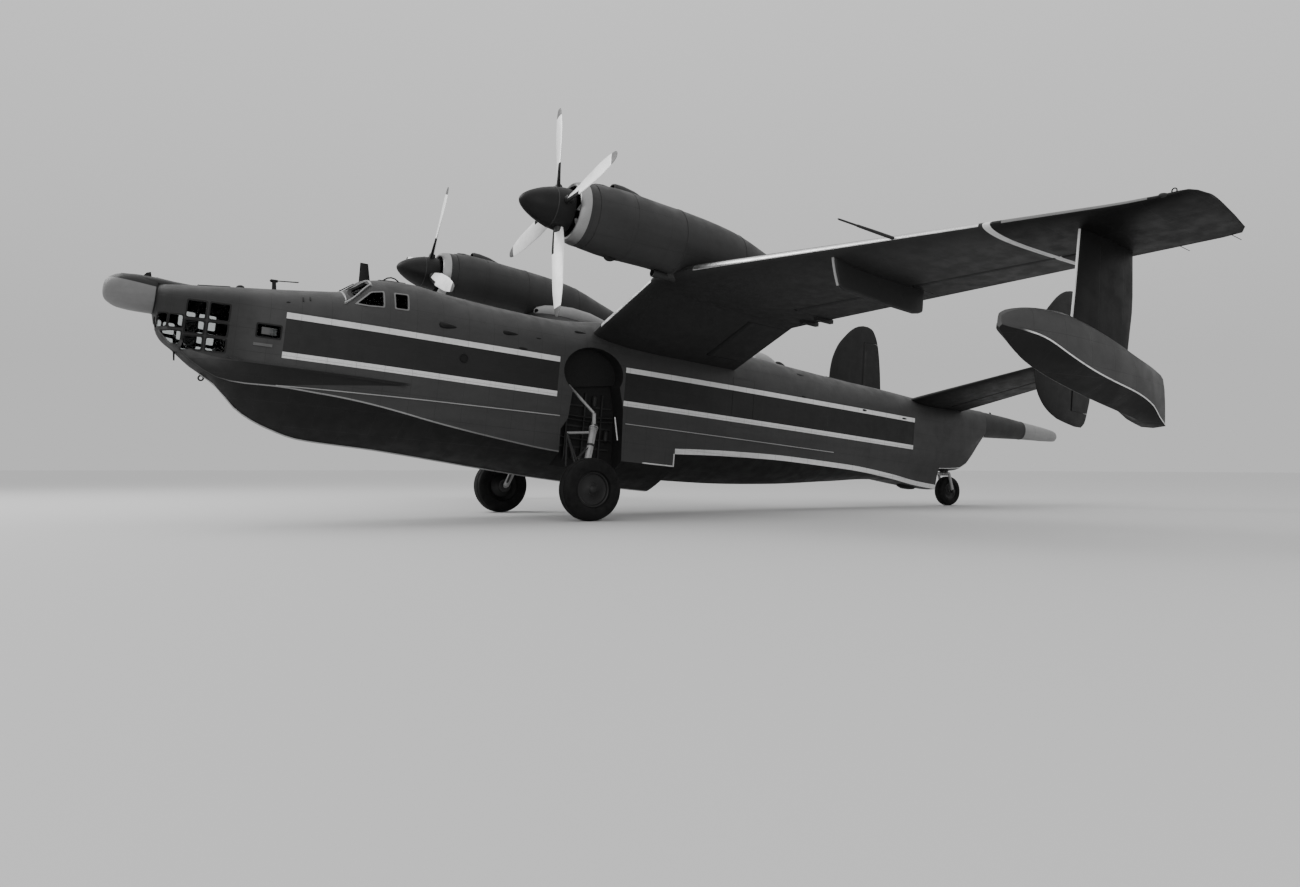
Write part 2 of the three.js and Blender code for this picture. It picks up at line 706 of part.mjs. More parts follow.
// columns: w, leading edge s, trailing edge s
const FIN = [
  [-110, 25120, 25440], [30, 24330, 25600], [430, 23640, 25740], [800, 23390, 25830],
  [1250, 23290, 25850], [1850, 23280, 25800], [2310, 23330, 25750], [2990, 23590, 25640],
  [3400, 23930, 25530], [3700, 24260, 25380], [3860, 24560, 25220], [3910, 24780, 25030],
];
const FIN_THICKNESS = 0.085;

function finBody(grow = 0) {
  return loft(FIN.map(([w, le, te]) => foilRing(
    new THREE.Vector3(FIN_X, le - grow, w), new THREE.Vector3(FIN_X, te + grow, w),
    (te - le) * FIN_THICKNESS, new THREE.Vector3(0, 0, 1), grow)));
}

const RUDDER_S = 24890;

function finPoint(w, s) {
  const after = FIN.findIndex((row) => row[0] >= w);
  const low = FIN[after - 1];
  const high = FIN[after];
  const t = (w - low[0]) / (high[0] - low[0]);
  const [, le, te] = low.map((v, i) => v + (high[i] - v) * t);
  const share = (s - le) / (te - le);
  const thick = (te - le) * FIN_THICKNESS;
  return { point: new THREE.Vector3(FIN_X, s, w), half: thick * streamline(share) };
}

function tailAt(x, share) {
  const low = TAILPLANE[1];
  const high = TAILPLANE[2];
  const t = (x - low[0]) / (high[0] - low[0]);
  const [, leS, leW, teS, teW, thick] = low.map((v, i) => v + (high[i] - v) * t);
  return {
    point: new THREE.Vector3(x, leS + (teS - leS) * share, leW + (teW - leW) * share
      + 0.12 * thick * Math.sin(Math.PI * share)),
    half: thick * streamline(share),
  };
}

const RUDDER = { a: finPoint(330, RUDDER_S), b: finPoint(3300, RUDDER_S) };
const ELEVATOR = { a: tailAt(760, 0.64), b: tailAt(4080, 0.64) };
const finPort = finBody();
const tailHalf = loft(TAILPLANE.map((row) => wingRing(row)));
const tailFat = loft(TAILPLANE.map((row) => wingRing(row, SEAT_GAP)));

function tailplane() {
  const inboard = box(-FAR, FIN_X, 0, FAR, -FAR, FAR);
  return bothSides(cut(tailHalf, cove(ELEVATOR), finBody(SEAT_GAP)).intersect(inboard));
}

// Main gear; points are [x, y, z] above the ground, port side
const AXLE_Z = MAIN_WHEEL.radius * Math.cos(Math.PI / TYRE_SIDES);
const GEAR = {
  axleInner: [2230, MAIN_WHEEL.y, AXLE_Z],
  axleOuter: [2820, MAIN_WHEEL.y, AXLE_Z],
  knuckle: [2230, 9900, 930],
  knee: [1750, 10420, 2210],
  crown: [1750, 10422, 2520],
  linkEnd: [1799, 10364, 2060],
  braceTop: [760, 10206, 3286],
  forePivot: [1180, 9980, 2060],
  aftPivot: [820, 10900, 2330],
  forePin: [2200, 9760, 1000],
};

function strut(from, to, radius, grow, endRadius = radius, sides = 10) {
  const a = new THREE.Vector3(...from);
  const b = new THREE.Vector3(...to);
  const along = b.clone().sub(a).normalize();
  a.addScaledVector(along, -grow);
  b.addScaledVector(along, grow);
  return rod(a.toArray(), b.toArray(), radius + grow, endRadius + grow, sides);
}

function mainLeg(grow = 0) {
  const at = Object.fromEntries(Object.entries(GEAR).map(([name, p]) => [name, level(p)]));
  const axle = MAIN_WHEEL.bore - AXLE_CLEARANCE + grow;
  return join(
    rod(at.axleInner, at.axleOuter, axle, axle, TYRE_SIDES),
    strut(at.axleInner, at.knee, 78, grow, 88),
    strut(at.knee, at.aftPivot, 62, grow),
    strut(at.knee, at.crown, 46, grow),
    strut(at.crown, at.braceTop, 36, grow),
    strut(at.linkEnd, at.forePivot, 34, grow),
    strut(at.axleInner, at.forePivot, 42, grow, 52),
  );
}

// Wheels turn about +X; drawn with the hub at the origin
function wheelLathe(rows) {
  const half = Math.PI / TYRE_SIDES;
  return turned(rows, TYRE_SIDES).rotate([0, THREE.MathUtils.radToDeg(half), 0]).rotate([0, 0, 90]);
}

function tyre({ radius, width, rim }) {
  const w = width / 2;
  return wheelLathe([[-w * 0.72, rim], [-w, rim + 60], [-w, radius - 110], [-w * 0.78, radius - 25],
    [-w * 0.5, radius], [w * 0.5, radius], [w * 0.78, radius - 25], [w, radius - 110], [w, rim + 60],
    [w * 0.72, rim], [-w * 0.72, rim]]);
}

function wheelRim({ width, rim, bore }) {
  const w = width / 2;
  const seatRadius = rim - SEAT_GAP;
  return wheelLathe([[-w * 0.7, bore], [-w * 0.7, bore + 70], [-w * 0.35, rim - 90], [-w * 0.7, seatRadius],
    [w * 0.7, seatRadius], [w * 0.45, rim - 90], [w * 0.62, bore + 90], [w * 0.7, bore], [-w * 0.7, bore]]);
}

// Tail gear
const TAIL_AXLE_Z = TAIL_WHEEL.radius * Math.cos(Math.PI / TYRE_SIDES);
const STEER = { top: [0, 24330, 1420], foot: [0, 24330, 1014], radius: 85 };
const FORK_CROWN = 1027;

function tailFork() {
  const top = level(STEER.top);
  const foot = level(STEER.foot);
  const parts = [rod(top, foot, STEER.radius, STEER.radius, 24)];
  for (const side of [-1, 1]) {
    const x = side * 225;
    const crown = level([x, 24346, FORK_CROWN]);
    const eye = level([x, TAIL_WHEEL.y, TAIL_AXLE_Z]);
    parts.push(rod(crown, eye, 45, 50, 12));
    parts.push(rod(level([-side * 20, 24346, FORK_CROWN]), crown, 60, 60, 12));
  }
  const axle = [-1, 1].map((side) => level([side * 260, TAIL_WHEEL.y, TAIL_AXLE_Z]));
  parts.push(rod(axle[0], axle[1], TAIL_WHEEL.bore - AXLE_CLEARANCE, TAIL_WHEEL.bore - AXLE_CLEARANCE, 24));
  return join(...parts);
}

function steerSocket() {
  const [x, y, z] = STEER.top;
  const radius = STEER.radius + 1.1;
  return rod(level([x, y, z + 0.5]), level([x, y, 700]), radius, radius, 24);
}

// Pitot boom and the blade aerial on the cabin roof
function pitotBoom() {
  const root = wingAt(PITOT_X, 0.02).point;
  const boom = rod([PITOT_X, root.y - 1400, root.z + 45], [PITOT_X, root.y + 200, root.z], 20, 36, 12);
  return cut(boom, wingFat);
}

function roofAerial() {
  const blade = loft([plateRing(0, 1020, 5105, 5395, 60), plateRing(0, 1575, 5090, 5275, 30)]);
  return cut(blade, bowOuter);
}

// Assembly
const aircraft = new THREE.Group();
aircraft.name = 'flying_boat';
aircraft.position.set(0, BOW_Y, 0);
const airframe = new THREE.Group();
airframe.position.set(0, 0, DATUM_Z);
airframe.rotation.x = -PARK_ANGLE;
aircraft.add(airframe);

function place(group, name, solid, material) {
  const mesh = new THREE.Mesh(toGeometry(solid), material);
  mesh.name = name;
  group.add(mesh);
  return mesh;
}

function placePair(name, solid, material) {
  place(airframe, `${name}_port`, solid, material);
  place(airframe, `${name}_starboard`, solid.mirror([1, 0, 0]), material);
}

place(airframe, 'radome', radome(), MATERIAL.radome);
place(airframe, 'nose_shell', noseShell(), MATERIAL.hull);
place(airframe, 'nose_glazing', noseGlass(), MATERIAL.glass);
place(airframe, 'navigator_seat', navigatorSeat(), MATERIAL.seat);
place(airframe, 'hull_forward', hullForward(), MATERIAL.hull);
place(airframe, 'canopy_frame', canopyFrame(), MATERIAL.hull);
place(airframe, 'canopy_glazing', canopyGlass(), MATERIAL.glass);
place(airframe, 'pilot_seats', cockpitSeats(), MATERIAL.seat);
place(airframe, 'instrument_panel', instrumentPanel(), MATERIAL.panel);
place(airframe, 'hull_centre', hullCentre(bothSides(mainLeg(SEAT_GAP))), MATERIAL.hull);
place(airframe, 'hull_aft', cut(hullAft(), bothSides(tailFat)), MATERIAL.hull);
place(airframe, 'hull_tail', cut(hullTail(), steerSocket(), bothSides(tailFat)), MATERIAL.hull);
place(airframe, 'tail_boom', between(boomBody(), 0, BOOM_COLLAR), MATERIAL.hull);
place(airframe, 'tail_boom_tip', between(boomBody(), BOOM_COLLAR + SEAT_GAP, FAR), MATERIAL.light);
place(airframe, 'roof_aerial', roofAerial(), MATERIAL.spinner);

placePair('wing_inner', wingInner(), MATERIAL.wing);
placePair('wing_outer', wingOuter(), MATERIAL.wing);
placePair('inner_flap', controlSurface(wingPort, INNER_FLAP), MATERIAL.wing);
placePair('outer_flap', controlSurface(wingPort, OUTER_FLAP), MATERIAL.wing);
placePair('aileron', controlSurface(wingPort, AILERON), MATERIAL.wing);
placePair('nacelle', nacelle(), MATERIAL.wing);
placePair('cowl_ring', cowlRing(), MATERIAL.metal);
placePair('engine_block', engineBlock(), MATERIAL.engine);
place(airframe, 'propeller_port', toThrustLine(propeller(PROP_TURN_PORT)), MATERIAL.blade);
place(airframe, 'propeller_starboard', toThrustLine(propeller(PROP_TURN_STARBOARD))
  .translate([-2 * NACELLE_X, 0, 0]), MATERIAL.blade);
placePair('wing_float', floatBody(), MATERIAL.hull);
placePair('float_pylon', floatPylon(), MATERIAL.wing);
placePair('store_pylon', storePylon(), MATERIAL.wing);
place(airframe, 'pitot_boom', pitotBoom(), MATERIAL.metal);

place(airframe, 'tailplane', tailplane(), MATERIAL.wing);
placePair('elevator', controlSurface(tailHalf, ELEVATOR), MATERIAL.wing);
placePair('fin', cut(finPort, cove(RUDDER)), MATERIAL.wing);
placePair('rudder', controlSurface(finPort, RUDDER), MATERIAL.wing);

placePair('main_leg', mainLeg(), MATERIAL.gear);
for (const [side, sign] of [['port', 1], ['starboard', -1]]) {
  const hub = [sign * MAIN_WHEEL.x, MAIN_WHEEL.y, AXLE_Z];
  place(aircraft, `main_tyre_${side}`, tyre(MAIN_WHEEL), MATERIAL.rubber).position.set(...hub);
  const rim = place(aircraft, `main_rim_${side}`, wheelRim(MAIN_WHEEL), MATERIAL.gear);
  rim.position.set(...hub);
  if (sign < 0) rim.rotation.z = Math.PI;
}
place(airframe, 'tail_fork', tailFork(), MATERIAL.gear);
const tailHub = [TAIL_WHEEL.x, TAIL_WHEEL.y, TAIL_AXLE_Z];
place(aircraft, 'tail_tyre', tyre(TAIL_WHEEL), MATERIAL.rubber).position.set(...tailHub);
place(aircraft, 'tail_rim', wheelRim(TAIL_WHEEL), MATERIAL.gear).position.set(...tailHub);

export default aircraft;
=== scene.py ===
# The visual model of a twin-engined flying boat, standing on its wheels.
# Pieces are drawn in the airframe's level axes (x to port, s aft from the bow, w up from the datum),
# in metres, and LEVEL tips them nose-up into the row frame. Port pieces are mirrored to starboard.
import math

import bmesh
import bpy
import numpy as np
from mathutils import Matrix, Vector


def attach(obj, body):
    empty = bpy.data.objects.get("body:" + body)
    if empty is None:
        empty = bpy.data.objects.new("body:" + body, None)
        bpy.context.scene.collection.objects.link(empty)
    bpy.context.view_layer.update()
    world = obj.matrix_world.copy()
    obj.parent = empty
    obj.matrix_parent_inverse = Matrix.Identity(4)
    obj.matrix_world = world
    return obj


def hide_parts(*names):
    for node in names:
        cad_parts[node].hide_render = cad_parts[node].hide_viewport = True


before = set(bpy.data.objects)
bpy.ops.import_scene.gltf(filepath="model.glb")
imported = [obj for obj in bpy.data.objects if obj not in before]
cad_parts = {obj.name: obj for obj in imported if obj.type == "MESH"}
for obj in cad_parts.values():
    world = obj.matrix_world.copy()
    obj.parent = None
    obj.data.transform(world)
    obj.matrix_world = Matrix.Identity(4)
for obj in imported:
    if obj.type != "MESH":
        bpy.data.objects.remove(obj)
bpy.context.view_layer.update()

PARK = math.radians(5.2)
BOW_Y = -15.0329
DATUM_Z = 4.83
COS, SIN = math.cos(PARK), math.sin(PARK)
LEVEL = Matrix(((1, 0, 0, 0), (0, COS, SIN, BOW_Y), (0, -SIN, COS, DATUM_Z), (0, 0, 0, 1)))
MIRROR = Matrix.Diagonal((-1, 1, 1, 1))
ACROSS, AFT = Vector((1, 0, 0)), Vector((0, 1, 0))
NACELLE_X, HUB_S, HUB_W, THRUST_TILT = 4.164, 8.04, 2.6, math.radians(-1.4)


# Numbers
def pchip(xs, ys, x):
    """Shape-keeping cubic through the points; ys may have several columns."""
    xs, ys, x = np.asarray(xs, float), np.asarray(ys, float), np.asarray(x, float)
    if ys.ndim == 1:
        ys = ys[:, None]
    h = np.diff(xs)[:, None]
    slope = np.diff(ys, axis=0) / h
    d = np.zeros_like(ys)
    a, b = slope[:-1], slope[1:]
    w1, w2 = 2 * h[1:] + h[:-1], h[1:] + 2 * h[:-1]
    same = a * b > 0
    with np.errstate(divide="ignore", invalid="ignore"):
        mean = (w1 + w2) / (w1 / a + w2 / b)
    d[1:-1] = np.where(same, mean, 0)
    d[0], d[-1] = slope[0], slope[-1]
    i = np.clip(np.searchsorted(xs, x) - 1, 0, len(xs) - 2)
    t = ((x - xs[i]) / h[i, 0])[:, None]
    hi = h[i]
    return (ys[i] * (1 + 2 * t) * (1 - t) ** 2 + hi * d[i] * t * (1 - t) ** 2
            + ys[i + 1] * t * t * (3 - 2 * t) + hi * d[i + 1] * t * t * (t - 1))


def stations(rows, step, fine=None):
    """Stations that hit every row, about step apart; fine = (limit, step) applies below limit."""
    xs = [row[0] for row in rows]
    out = []
    for a, b in zip(xs, xs[1:]):
        pitch = fine[1] if fine and a < fine[0] else step
        n = max(1, math.ceil((b - a) / pitch))
        out += [a + (b - a) * k / n for k in range(n)]
    return np.array(out + [xs[-1]])


def dense(rows, step, fine=None, smooth=True):
    table = np.array(rows, float)
    s = stations(rows, step, fine)
    if smooth:
        columns = pchip(table[:, 0], table[:, 1:], s)
    else:
        columns = np.stack([np.interp(s, table[:, 0], c) for c in table[:, 1:].T], 1)
    return [(float(a), *map(float, c)) for a, c in zip(s, columns)]


def run_length(pts):
    """Distance along a line of points, from its start to each of them."""
    return np.concatenate([[0], np.cumsum(np.hypot(*np.diff(pts, axis=0).T))])


def spun(rows, count):
    """Smooth curve through [along, radius] points, spaced by the length of the line."""
    pts = np.array(rows, float)
    run = run_length(pts)
    out = pchip(run, pts, np.linspace(0, run[-1], count))
    out[0], out[-1] = pts[0], pts[-1]
    return [tuple(map(float, p)) for p in out]


def turns(count):
    """Cosine and sine of count equal steps around a full turn."""
    return [(math.cos(a), math.sin(a)) for a in (2 * math.pi * i / count for i in range(count))]


# Meshes
SHARP_ANGLE = math.radians(32)


def linked(name, data):
    obj = bpy.data.objects.new(name, data)
    bpy.context.scene.collection.objects.link(obj)
    return obj


def make(name, verts, faces, mats=(), slots=None):
    mesh = bpy.data.meshes.new(name)
    mesh.from_pydata([tuple(v) for v in verts], [], faces)
    for m in mats:
        mesh.materials.append(m)
    if slots is not None:
        mesh.polygons.foreach_set("material_index", slots)
    mesh.update()
    return linked(name, mesh)


def fix_normals(obj):
    bm = bmesh.new()
    bm.from_mesh(obj.data)
    bmesh.ops.recalc_face_normals(bm, faces=bm.faces[:])
    bm.to_mesh(obj.data)
    bm.free()
    return obj


def loft(name, rings, mats=(), ring_slots=None, cap=True):
    """A closed body through rings of equal count; ring_slots gives the material of each ring segment."""
    count = len(rings[0])
    verts = [p for ring in rings for p in ring]
    faces, slots = [], []
    for r in range(len(rings) - 1):
        for i in range(count):
            j = (i + 1) % count
            faces.append((r * count + i, r * count + j, (r + 1) * count + j, (r + 1) * count + i))
            slots.append(ring_slots[i] if ring_slots else 0)
    if cap:
        faces.append(tuple(range(count)))
        faces.append(tuple(reversed(range((len(rings) - 1) * count, len(rings) * count))))
        slots += [0, 0]
    return fix_normals(make(name, verts, faces, mats, slots))


def ring_body(name, rings, mats):
    """A closed body through rings that follow one another round to the first."""
    n, sides = len(rings), len(rings[0])
    faces = [(r * sides + i, r * sides + (i + 1) % sides, ((r + 1) % n) * sides + (i + 1) % sides,
              ((r + 1) % n) * sides + i) for r in range(n) for i in range(sides)]
    return fix_normals(make(name, [p for ring in rings for p in ring], faces, mats))


def lofted(name, ring, rows, mats=(), ring_slots=None):
    """A body through the rings that a function makes of each row."""
    return loft(name, [ring(*row) for row in rows], mats, ring_slots)


def box(name, lo, hi, mats=()):
    (x0, y0, z0), (x1, y1, z1) = lo, hi
    corners = [(x, y, z) for x in (x0, x1) for y in (y0, y1) for z in (z0, z1)]
    faces = [(0, 1, 3, 2), (4, 6, 7, 5), (0, 4, 5, 1), (2, 3, 7, 6), (0, 2, 6, 4), (1, 5, 7, 3)]
    return fix_normals(make(name, corners, faces, mats))


def prism(name, outline, axis, lo, hi, mats=()):
    """An outline in the other two axes, drawn out along axis from lo to hi."""
    def at(p, value):
        point = list(p)
        point.insert(axis, value)
        return tuple(point)
    n = len(outline)
    verts = [at(p, lo) for p in outline] + [at(p, hi) for p in outline]
    faces = [tuple(range(n)), tuple(reversed(range(n, 2 * n)))]
    faces += [(i, (i + 1) % n, n + (i + 1) % n, n + i) for i in range(n)]
    return fix_normals(make(name, verts, faces, mats))


def frame_of(direction):
    z = Vector(direction).normalized()
    side = Vector((1, 0, 0)) if abs(z.x) < 0.9 else Vector((0, 1, 0))
    x = side.cross(z).normalized()
    return x, z.cross(x), z


def tube(name, points, radius, sides=16, mats=(), radii=None, closed=False):
    """A round bar along points; radii may give one radius for each point."""
    points = [Vector(p) for p in points]
    n = len(points)
    rings = []
    x = None
    for k, p in enumerate(points):
        before = points[k - 1] if k or closed else p
        after = points[(k + 1) % n] if k + 1 < n or closed else p
        along = (after - before).normalized()
        if x is None:
            x, _, _ = frame_of(along)
        x = (x - along * x.dot(along)).normalized()
        y = along.cross(x)
        r = radii[k] if radii else radius
        rings.append([p + (x * c + y * d) * r for c, d in turns(sides)])
    return ring_body(name, rings, mats) if closed else loft(name, rings, mats)


def lathe(name, rows, sides, mats=(), slots=None, axis=(0, 1, 0)):
    """Rows are [along, radius] about an axis through the origin; a row of radius 0 closes to a point."""
    x, y, z = frame_of(axis)
    verts, index = [], []
    for along, radius in rows:
        if radius < 1e-6:
            index.append([len(verts)] * sides)
            verts.append(z * along)
        else:
            index.append(list(range(len(verts), len(verts) + sides)))
            verts += [z * along + (x * c + y * d) * radius for c, d in turns(sides)]
    faces, used = [], []
    for r in range(len(rows) - 1):
        for i in range(sides):
            j = (i + 1) % sides
            quad = [index[r][i], index[r][j], index[r + 1][j], index[r + 1][i]]
            face = [v for k, v in enumerate(quad) if v not in quad[:k]]
            if len(face) > 2:
                faces.append(face)
                used.append(slots[r] if slots else 0)
    return fix_normals(make(name, verts, faces, mats, used))


def bake(obj):
    graph = bpy.context.evaluated_depsgraph_get()
    mesh = bpy.data.meshes.new_from_object(obj.evaluated_get(graph))
    old = obj.data
    obj.modifiers.clear()
    obj.data = mesh
    bpy.data.meshes.remove(old)
    return obj


def drop(obj):
    mesh = obj.data
    bpy.data.objects.remove(obj)
    bpy.data.meshes.remove(mesh)


def combine(obj, tool, operation):
    mod = obj.modifiers.new("cut", "BOOLEAN")
    mod.object = tool
    mod.operation = operation
    mod.solver = "MANIFOLD"
    mod.material_mode = "TRANSFER"
    bake(obj)
    drop(tool)
    return obj


def cut(obj, *tools):
    for tool in tools:
        combine(obj, tool, "DIFFERENCE")
    return obj


def within(obj, tool):
    return combine(obj, tool, "INTERSECT")


def moved(obj, by):
    obj.data.transform(Matrix.Translation(by))
    return obj


def copy_of(obj, name):
    return linked(name, obj.data.copy())


def merged(name, objs):
    """One object from several, without cutting them; materials are kept."""
    mesh = bpy.data.meshes.new(name)
    bm = bmesh.new()
    mats = []
    for o in objs:
        remap = []
        for m in o.data.materials:
            if m not in mats:
                mats.append(m)
            remap.append(mats.index(m))
        start = len(bm.faces)
        o.data.transform(o.matrix_world)
        bm.from_mesh(o.data)
        bm.faces.ensure_lookup_table()
        for f in bm.faces[start:]:
            f.material_index = remap[f.material_index] if remap else 0
    bm.to_mesh(mesh)
    bm.free()
    for m in mats:
        mesh.materials.append(m)
    for o in objs:
        drop(o)
    return linked(name, mesh)


def mirrored(obj, name):
    twin = copy_of(obj, name)
    twin.data.transform(MIRROR)
    twin.data.flip_normals()
    return twin


def shade(obj, weighted):
    mesh = obj.data
    mesh.polygons.foreach_set("use_smooth", [True] * len(mesh.polygons))
    mesh.set_sharp_from_angle(angle=SHARP_ANGLE)
    if weighted:
        mod = obj.modifiers.new("normals", "WEIGHTED_NORMAL")
        mod.keep_sharp = True


def place(obj, body="airframe", level=True, slot=None, stands_for=(), weighted=True):
    """Tips a piece into the row frame, shades it and rides it on a body."""
    if level:
        obj.data.transform(LEVEL)
    shade(obj, weighted)
    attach(obj, body)
    if stands_for:
        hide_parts(*stands_for)


def place_pair(obj, name, body="airframe", pair_bodies=False, stands_for=(), **options):
    """Places a port piece, or a list that makes one, and its mirror image; names get the side's suffix."""
    obj = merged(name, obj) if isinstance(obj, list) else obj
    twin = mirrored(obj, f"{name}_starboard")
    obj.name = f"{name}_port"
    for piece, side in ((obj, "port"), (twin, "starboard")):
        nodes = [f"{n}_{side}" for n in stands_for]
        place(piece, f"{body}_{side}" if pair_bodies else body, stands_for=nodes, **options)


# Materials
class Shader:
    """Builds a node material from level coordinates."""

    def __init__(self, name):
        self.mat = bpy.data.materials.new(name)
        self.mat.use_nodes = True
        self.tree = self.mat.node_tree
        self.tree.nodes.clear()
        out = self.node("ShaderNodeOutputMaterial")
        self.bsdf = self.node("ShaderNodeBsdfPrincipled")
        self.link(self.bsdf.outputs[0], out.inputs[0])
        self._level = None

    def node(self, kind, **settings):
        n = self.tree.nodes.new(kind)
        for key, value in settings.items():
            setattr(n, key, value)
        return n

    def link(self, a, b):
        self.tree.links.new(a, b)

    def feed(self, socket, value):
        if isinstance(value, (int, float, tuple)):
            socket.default_value = value
        else:
            self.link(value, socket)

    def math(self, op, *values):
        n = self.node("ShaderNodeMath", operation=op)
        for socket, value in zip(n.inputs, values):
            self.feed(socket, value)
        return n.outputs[0]

    def product(self, first, *rest):
        for value in rest:
            first = self.math("MULTIPLY", first, value)
        return first

    def scaled(self, color, factor):
        n = self.node("ShaderNodeVectorMath", operation="SCALE")
        self.feed(n.inputs[0], color)
        self.feed(n.inputs["Scale"], factor)
        return n.outputs[0]

    def level(self):
        """x, s and w of the shaded point."""
        if self._level is None:
            n = self.node("ShaderNodeMapping", vector_type="POINT")
            self.link(self.node("ShaderNodeTexCoord").outputs["Object"], n.inputs[0])
            n.inputs["Rotation"].default_value = (PARK, 0, 0)
            n.inputs["Location"].default_value = (
                0, -(BOW_Y * COS - DATUM_Z * SIN), -(BOW_Y * SIN + DATUM_Z * COS))
            split = self.node("ShaderNodeSeparateXYZ")
            self.link(n.outputs[0], split.inputs[0])
            self.point = n.outputs[0]
            self._level = tuple(split.outputs[k] for k in range(3))
        return self._level

    def noise(self, scale, detail=4, rough=0.55, stretch=(1, 1, 1)):
        self.level()
        m = self.node("ShaderNodeMapping")
        self.link(self.point, m.inputs[0])
        m.inputs["Scale"].default_value = stretch
        n = self.node("ShaderNodeTexNoise")
        self.link(m.outputs[0], n.inputs["Vector"])
        n.inputs["Scale"].default_value = scale
        n.inputs["Detail"].default_value = detail
        n.inputs["Roughness"].default_value = rough
        return n.outputs["Fac"]

    def ramp(self, value, lo, hi, a=0.0, b=1.0):
        n = self.node("ShaderNodeMapRange", interpolation_type="SMOOTHSTEP")
        for key, v in (("Value", value), ("From Min", lo), ("From Max", hi), ("To Min", a), ("To Max", b)):
            self.feed(n.inputs[key], v)
        return n.outputs[0]

    def mix(self, fac, a, b):
        n = self.node("ShaderNodeMix", data_type="RGBA")
        self.feed(n.inputs[0], fac)
        for socket, value in ((n.inputs[6], a), (n.inputs[7], b)):
            self.feed(socket, (*value, 1.0) if isinstance(value, tuple) else value)
        return n.outputs[2]

    def inside(self, value, lo, hi, soft=0.004):
        """1 where lo < value < hi, with a narrow soft edge."""
        up = self.ramp(value, lo - soft, lo + soft)
        down = self.ramp(value, hi - soft, hi + soft, 1.0, 0.0)
        return self.product(up, down)

    def lines(self, value, pitch):
        """1 on thin lines pitch apart."""
        near = self.math("PINGPONG", value, pitch / 2)
        return self.ramp(near, SEAM_WIDTH * 0.5, SEAM_WIDTH * 1.2, 1.0, 0.0)

    def bump(self, height, strength=0.3, distance=0.01, normal=None):
        n = self.node("ShaderNodeBump")
        self.feed(n.inputs["Height"], height)
        n.inputs["Strength"].default_value = strength
        n.inputs["Distance"].default_value = distance
        if normal is not None:
            self.link(normal, n.inputs["Normal"])
        return n.outputs[0]

    def done(self, color, rough, metal=0.0, normal=None):
        b = self.bsdf
        self.feed(b.inputs["Base Color"], (*color, 1.0) if isinstance(color, tuple) else color)
        self.feed(b.inputs["Roughness"], rough)
        b.inputs["Metallic"].default_value = metal
        b.inputs["Specular IOR Level"].default_value = 0.5 if metal else 0.25
        if normal is not None:
            self.link(normal, b.inputs["Normal"])
        return self.mat


def grey(v, warm=0.0):
    """A neutral grey of sRGB value v, as linear RGB."""
    lin = v / 12.92 if v <= 0.04045 else ((v + 0.055) / 1.055) ** 2.4
    return (lin * (1 + warm), lin, lin * (1 - warm))


# The bottom grey is painted shade: the undersides of the hull and floats are painted much darker for the
# shade beneath them
HULL_GREY, BAND_GREY, STRIPE, SHADED_BOTTOM = grey(0.235), grey(0.130), grey(0.86), grey(0.070)
# The wing grey is darker than the hull grey: partly the wing's own paint, partly painted shade for its
# underside
WING_GREY, TIP_DARK, DARK = grey(0.155), grey(0.045), grey(0.06)
SEAM_WIDTH, RIVET_PITCH, RIVET_INSET = 0.006, 0.09, 0.03
HULL_PLATES, WING_PLATES = (0.62, 0.48), (0.78, 0.66)


def weather(sh, base):
    """Uneven paint: broad patches, fine mottling and streaks in the direction that water runs."""
    broad = sh.ramp(sh.noise(0.35, 3), 0.3, 0.7, 0.88, 1.072)
    fine = sh.ramp(sh.noise(9.0, 6, 0.7), 0.25, 0.75, 0.94, 1.048)
    runs = sh.ramp(sh.noise(2.4, 5, 0.6, (1, 0.25, 2.2)), 0.35, 0.75, 1.0, 0.892)
    return sh.scaled(base, sh.product(broad, fine, runs))


def plated(sh, u, v, pitch):
    """Masks of the panel joints on a grid in u and v, and of the rivet rows beside them."""
    joints = sh.math("MAXIMUM", *(sh.lines(along, p) for along, p in zip((u, v), pitch)))
    near_u, near_v = (sh.math("PINGPONG", along, p / 2) for along, p in zip((u, v), pitch))
    dots = []
    for near, along in ((near_u, v), (near_v, u)):
        off = sh.math("SUBTRACT", near, RIVET_INSET)
        step = sh.math("PINGPONG", along, RIVET_PITCH / 2)
        square = sh.math("ADD", sh.product(off, off), sh.product(step, step))
        dots.append(sh.ramp(sh.math("SQRT", square), 0.006, 0.010, 1.0, 0.0))
    return joints, sh.math("MAXIMUM", *dots)


def paint_material(name, base, rough=0.5, plates=None, pattern=None, flat=False):
    """Worn paint, with an optional pattern and plating; flat plates lie in x and s, others in s and w."""
    sh = Shader(name)
    x, s, w = sh.level()
    color = weather(sh, pattern(sh, x, s, w, base) if pattern else base)
    roughness = sh.ramp(sh.noise(3.0, 5), 0.3, 0.7, rough - 0.07, rough + 0.1)
    normal = sh.bump(sh.noise(1.7, 2), 0.10, 0.03)
    if plates:
        joints, rivets = plated(sh, x if flat else s, s if flat else w, plates)
        color = sh.mix(sh.product(joints, 0.38), color, grey(0.12))
        color = sh.mix(sh.product(rivets, 0.22), color, grey(0.16))
        height = sh.math("SUBTRACT", sh.product(rivets, 0.5), joints)
        normal = sh.bump(height, 0.35, 0.004, normal)
    return sh.done(color, roughness, normal=normal)


STRIPES = ((-0.165, -0.035), (-1.01, -0.88))
STRIPE_RUNS = ((3.42, 9.80), (11.66, 22.42))


